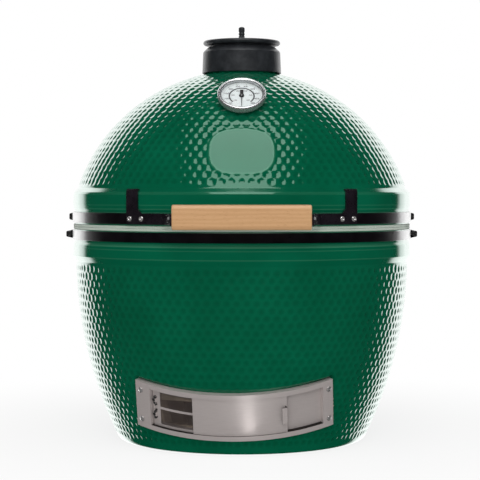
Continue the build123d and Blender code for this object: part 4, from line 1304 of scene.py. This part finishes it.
def cap_felt():
    """Felt sleeve between the neck and the cap."""
    (inner, outer), (low, high) = CAP_FELT_R, CAP_FELT_Z
    section = rounded([(inner, low), (outer, low), (outer, high), (inner, high)], 0.8, 2)
    return piece("vent_felt", turned_mesh(section, 224), "dome", ["cap_gasket"], "felt")


cap_casting()
knob()
cap_felt()


# --- thermometer ------------------------------------------------------------
DIAL_FACE = 11.1
SCALE_SWEEP = 135.0
PRINT_Z = (DIAL_FACE - 0.02, DIAL_FACE + 0.07)


def block(x_low, x_high, y_low, y_high, z_low, z_high):
    """Points and faces of a small box."""
    points = [(x, y, z) for z in (z_low, z_high) for y in (y_low, y_high) for x in (x_low, x_high)]
    faces = [(0, 2, 3, 1), (4, 5, 7, 6), (0, 1, 5, 4), (2, 6, 7, 3), (0, 4, 6, 2), (1, 3, 7, 5)]
    return np.array(points, float), faces


def dial_turn(angle):
    """Matrix that turns a mark clockwise from the top of the dial."""
    return Matrix.Rotation(math.radians(-angle), 4, "Z")


def dial_marks():
    """Tick marks of two scales, printed on the dial."""
    parts = []
    for step in range(55):
        long_mark = step % 6 == 0
        angle = -SCALE_SWEEP + step * 2 * SCALE_SWEEP / 54
        half, inner = (0.45, 33.4) if long_mark else (0.2, 35.2)
        points, faces = block(-half, half, inner, 37.0, *PRINT_Z)
        parts.append((moved(points, DIAL_SITE @ dial_turn(angle)), faces))
    for step in range(28):
        angle = -SCALE_SWEEP + step * 10
        points, faces = block(-0.15, 0.15, 19.4, 20.9 + 0.9 * (step % 3 == 0), *PRINT_Z)
        parts.append((moved(points, DIAL_SITE @ dial_turn(angle)), faces))
    return joined(parts)


def dial_band(inner, outer, first, last, lift):
    """Printed ring segment."""
    points = []
    steps = 90
    for step in range(steps + 1):
        a = math.radians(first + (last - first) * step / steps)
        for radius, z in ((inner, 0), (outer, 0), (outer, lift), (inner, lift)):
            points.append((radius * math.sin(a), radius * math.cos(a), PRINT_Z[0] + z))
    return joined([(moved(np.array(points), DIAL_SITE), capped(steps + 1, 4))])


def dial_numbers():
    """Plain temperature numbers round the dial, as one printed mesh."""
    meshes = []
    for ring_r, size, values in ((29.6, 6.0, range(50, 501, 50)), (17.0, 4.2, range(100, 601, 100))):
        count = len(values)
        for index, value in enumerate(values):
            angle = -SCALE_SWEEP + index * 2 * SCALE_SWEEP / (count - 1)
            curve = bpy.data.curves.new("number", "FONT")
            curve.body = str(value)
            curve.size = size * MM
            curve.extrude = 0.03 * MM
            curve.offset = 0.08 * MM
            curve.align_x = "CENTER"
            curve.align_y = "CENTER"
            text = bpy.data.objects.new("number", curve)
            mesh = bpy.data.meshes.new_from_object(text)
            bpy.data.objects.remove(text)
            a = math.radians(angle)
            spot = Vector((ring_r * math.sin(a), ring_r * math.cos(a), DIAL_FACE + 0.02)) * MM
            mesh.transform(in_metres(DIAL_SITE) @ Matrix.Translation(spot))
            meshes.append(mesh)
    work = bmesh.new()
    for mesh in meshes:
        work.from_mesh(mesh)
    made = bpy.data.meshes.new("numbers")
    work.to_mesh(made)
    work.free()
    return made


def thermometer():
    """Case, rolled bezel, printed dial and lens."""
    case = rounded([
        (6.1, 1.1), (10, 1.1), (10, 5), (CASE_R - 1, 5), (CASE_R, 6), (CASE_R, 17), (CASE_R - 2, 17),
        (CASE_R - 2, 10), (37, 10), (37, 7), (6.1, 7),
    ], 0.8, 3)
    piece("dial_case", turned_mesh(case, 160, site=DIAL_SITE), "dome", ["thermometer_case"], "chrome")
    bezel = [(39.8, 18.4), (CASE_R + 0.2, 18.4), (CASE_R + 0.2, 10), (BEZEL_R - 0.4, 10), (BEZEL_R, 10.6)]
    bezel += [
        (BEZEL_R - 3.2 + 3.2 * math.cos(u), 16.9 + 3.3 * math.sin(u)) for u in np.linspace(0, 2.2, 12)
    ]
    bezel += [(40.3, 19.0)]
    piece("dial_bezel", turned_mesh(bezel, 160, site=DIAL_SITE), "dome", ["thermometer_bezel"], "chrome")
    face = rounded([(1.9, 10.1), (41.2, 10.1), (41.2, DIAL_FACE), (1.9, DIAL_FACE)], 0.25, 2)
    piece("dial_plate", turned_mesh(face, 128, site=DIAL_SITE), "dome", ["thermometer_dial"], "dial_white")
    lens = [(0, 17.1), (43.2, 17.1), (43.2, 17.9), (39, 18.15), (20, 18.2), (0, 18.2)]
    piece("dial_lens", turned_mesh(lens, 128, closed=False, site=DIAL_SITE), "dome", ["thermometer_lens"],
          "clear_glass")
    piece("dial_ticks", dial_marks(), "dome", [], "pointer_black", [LOOK["dial_print"]])
    piece("dial_ring", dial_band(22.2, 25.2, -SCALE_SWEEP, SCALE_SWEEP, 0.08), "dome", [], "pointer_black",
          [LOOK["dial_arc"]])
    piece("dial_numbers", dial_numbers(), "dome", [], "pointer_black", [LOOK["dial_print"]])
    nut_site = DIAL_SITE @ Matrix.Translation((0, 0, -36.3))
    fasteners("dial_nut", hexagon_nut(20, 7, 6.1), [nut_site],
              "dome", "thermometer_nut", "zinc_fastener", closed=True)


thermometer()


# --- draft door screens -----------------------------------------------------
def woven_screen():
    """Two panels of woven wire: upright and level wires that pass over and under each other."""
    pitch, wire, wave = 1.45, 0.28, 0.2
    parts = []
    az_low, az_high = WINDOW_AZ
    length = math.radians(az_high - az_low) * MESH_R
    for w_low, w_high in WINDOW_W:
        uprights = int(length / pitch)
        levels = int((w_high - w_low) / pitch)
        for i in range(uprights):
            az = math.radians(az_low) + (i + 0.5) * pitch / MESH_R
            path = []
            for k in range(2 * levels + 1):
                radius = MESH_R + wave * math.cos(math.pi * (k / 2 + i))
                w = w_low + (w_high - w_low) * k / (2 * levels)
                path.append((radius * math.sin(az), -radius * math.cos(az), w))
            parts.append(tube(path, wire, 4))
        for j in range(levels):
            w = w_low + (j + 0.5) * (w_high - w_low) / levels
            path = []
            for k in range(2 * uprights + 1):
                az = math.radians(az_low) + k / 2 * pitch / MESH_R
                radius = MESH_R - wave * math.cos(math.pi * (k / 2 - 0.5 + j))
                path.append((radius * math.sin(az), -radius * math.cos(az), w))
            parts.append(tube(path, wire, 4))
    parts = [(moved(points, DOOR_SITE), faces) for points, faces in parts]
    return piece("woven_screens", joined(parts), "screen_slider", ["screen_mesh"], "screen", weighted=False)


woven_screen()


# --- inside the grill -------------------------------------------------------
def inside_parts():
    """Fire ring with rounded edges and the round-wire cooking grid."""
    (inner, outer), (low, high) = FIRE_RING_R, FIRE_RING_Z
    section = rounded([(inner, low), (outer, low), (outer, high), (inner, high)], 3, 4)
    piece("fire_ring_turned", turned_mesh(section, 240), "base", ["fire_ring"], "fired_clay")
    hoop = [(GRID_R - 4) * np.array((math.sin(a), -math.cos(a))) for a in np.linspace(0, 2 * math.pi, 181)]
    parts = [tube([(x, y, GRID_Z) for x, y in hoop], 3.9, 10)]
    count = int((GRID_R - 12) / GRID_PITCH)
    for step in range(-count, count + 1):
        x = step * GRID_PITCH
        reach = math.sqrt((GRID_R - 4) ** 2 - x * x)
        parts.append(tube([(x, y, GRID_Z + 1.2) for y in np.linspace(-reach, reach, 9)], 2.5, 10))
    for y in (-140, 140):
        reach = math.sqrt((GRID_R - 4) ** 2 - y * y)
        parts.append(tube([(x, y, GRID_Z - 1.0) for x in np.linspace(-reach, reach, 9)], 3.2, 10))
    piece("wire_cooking_grid", joined(parts), "base", ["cooking_grid"], "grid_steel", weighted=False)


inside_parts()

# every CAD node that is still shown gets its own material
for row in frame["record"]["subparts"]:
    node = frame["nodes"][row["node"]]
    node.data.materials.clear()
    node.data.materials.append(LOOK[row["material_slot"]])


# --- studio -----------------------------------------------------------------
def softbox(name, size, spot, aim, radiance, glossy=True):
    """Rectangular light of an even brightness, pointing at aim."""
    data = bpy.data.lights.new(name, "AREA")
    data.shape = "RECTANGLE"
    data.size, data.size_y = size
    data.energy = radiance * math.pi * size[0] * size[1]
    lamp = in_scene(name, data)
    lamp.location = spot
    lamp.rotation_euler = (Vector(aim) - Vector(spot)).to_track_quat("-Z", "Y").to_euler()
    lamp.visible_glossy = glossy
    return lamp


def studio():
    """Pale floor that fades into a white background, with softboxes above and in front."""
    world = bpy.data.worlds.new("studio")
    bpy.context.scene.world = world
    world.use_nodes = True
    tree = world.node_tree
    seen = add_node(tree, "Background", Color=WHITE, Strength=1.0)
    fill = add_node(tree, "Background", Color=WHITE, Strength=FILL)
    ray = add_node(tree, "SeparateXYZ", Vector=add_node(tree, "TexCoord").outputs["Generated"])
    behind = eased(tree, ray.outputs["Y"], *MIRROR_RISE, *MIRRORED)
    grazing = add_node(tree, "MapRange", Value=ray.outputs["Y"], From_Min=GRAZING_FROM,
                       To_Min=1.0, To_Max=GRAZING_SHARE)
    above_floor = eased(tree, ray.outputs["Z"], *BELOW_FLOOR)
    strength = behind
    for share in (grazing.outputs["Result"], above_floor):
        product = tree.nodes.new("ShaderNodeMath")
        product.operation = "MULTIPLY"
        tree.links.new(strength, product.inputs[0])
        tree.links.new(share, product.inputs[1])
        strength = product.outputs[0]
    mirrored = add_node(tree, "Background", Color=WHITE, Strength=strength)
    path = tree.nodes.new("ShaderNodeLightPath")
    lit = add_node(tree, "MixShader", Fac=path.outputs["Is Glossy Ray"])
    both = add_node(tree, "MixShader", Fac=path.outputs["Is Camera Ray"])
    for shader, mixer, socket in ((fill, lit, 1), (mirrored, lit, 2), (lit, both, 1), (seen, both, 2)):
        tree.links.new(shader.outputs[0], mixer.inputs[socket])
    tree.links.new(both.outputs[0], tree.nodes["World Output"].inputs["Surface"])

    softbox("overhead", (1.7, 2.3), (0, -1.25, 2.35), (0, -0.1, 0.5), 2.3, glossy=False)
    sheen = softbox("overhead_sheen", (1.42, 2.2), (0, -1.235, 2.32), (0, -0.1, 0.5), 4.2)
    sheen.visible_diffuse = False
    softbox("front_fill", (2.2, 2.6), (0, -4.6, 1.9), (0, 0, 0.4), 6.4, glossy=False)

    floor_mesh = bpy.data.meshes.new("floor")
    corners = [(x * FLOOR_HALF, y * FLOOR_HALF, 0) for x, y in ((-1, -1), (1, -1), (1, 1), (-1, 1))]
    floor_mesh.from_pydata(corners, [], [(0, 1, 2, 3)])
    floor = in_scene("floor", floor_mesh)
    made, tree, shader = new_material("floor", Roughness=1.0, Specular_IOR_Level=0.0)
    spot = place(tree)
    grain = ramp(tree, noise(tree, spot, 3, 2), (0.3, (0.86, 0.86, 0.86)), (0.7, (0.88, 0.88, 0.88)))
    set_from(tree, shader, Base_Color=grain)
    far = add_node(tree, "VectorMath", Vector=spot)
    far.operation = "LENGTH"
    away = eased(tree, far.outputs["Value"], *FLOOR_FADE, FLOOR_GLOW)
    glow = add_node(tree, "Emission", Color=WHITE, Strength=1.0)
    both = add_node(tree, "MixShader", Fac=away)
    tree.links.new(shader.outputs[0], both.inputs[1])
    tree.links.new(glow.outputs[0], both.inputs[2])
    tree.links.new(both.outputs[0], tree.nodes["Material Output"].inputs["Surface"])
    floor_mesh.materials.append(made)
    floor.visible_glossy = False
    floor.visible_diffuse = True
    bpy.context.scene.view_settings.view_transform = "Standard"


def door_strip():
    """Narrow light in front of the draft door, linked so that only the door's steel takes it."""
    receivers = bpy.data.collections.new("brushed_steel")
    for made in bpy.context.scene.objects:
        if made.name.startswith((
            "draft_frame_finished", "draft_door_finished", "screen_door_finished", "draft_frame_screws",
        )):
            receivers.objects.link(made)
    lamp = softbox("door_strip", (0.03, 0.3), (0.022, -0.47, 0.004), (0.022, -0.47, 1), 1.9)
    lamp.visible_camera = False
    lamp.light_linking.receiver_collection = receivers


def camera():
    """Long lens in front of the grill at a little above its mid height."""
    data = bpy.data.cameras.new("camera")
    data.sensor_width = 36
    data.lens = LENS_MM
    made = in_scene("camera", data)
    eye, aim = Vector(CAMERA_EYE), Vector(CAMERA_AIM)
    made.location = eye
    made.rotation_euler = (aim - eye).to_track_quat("-Z", "Y").to_euler()
    bpy.context.scene.camera = made


studio()
camera()
door_strip()
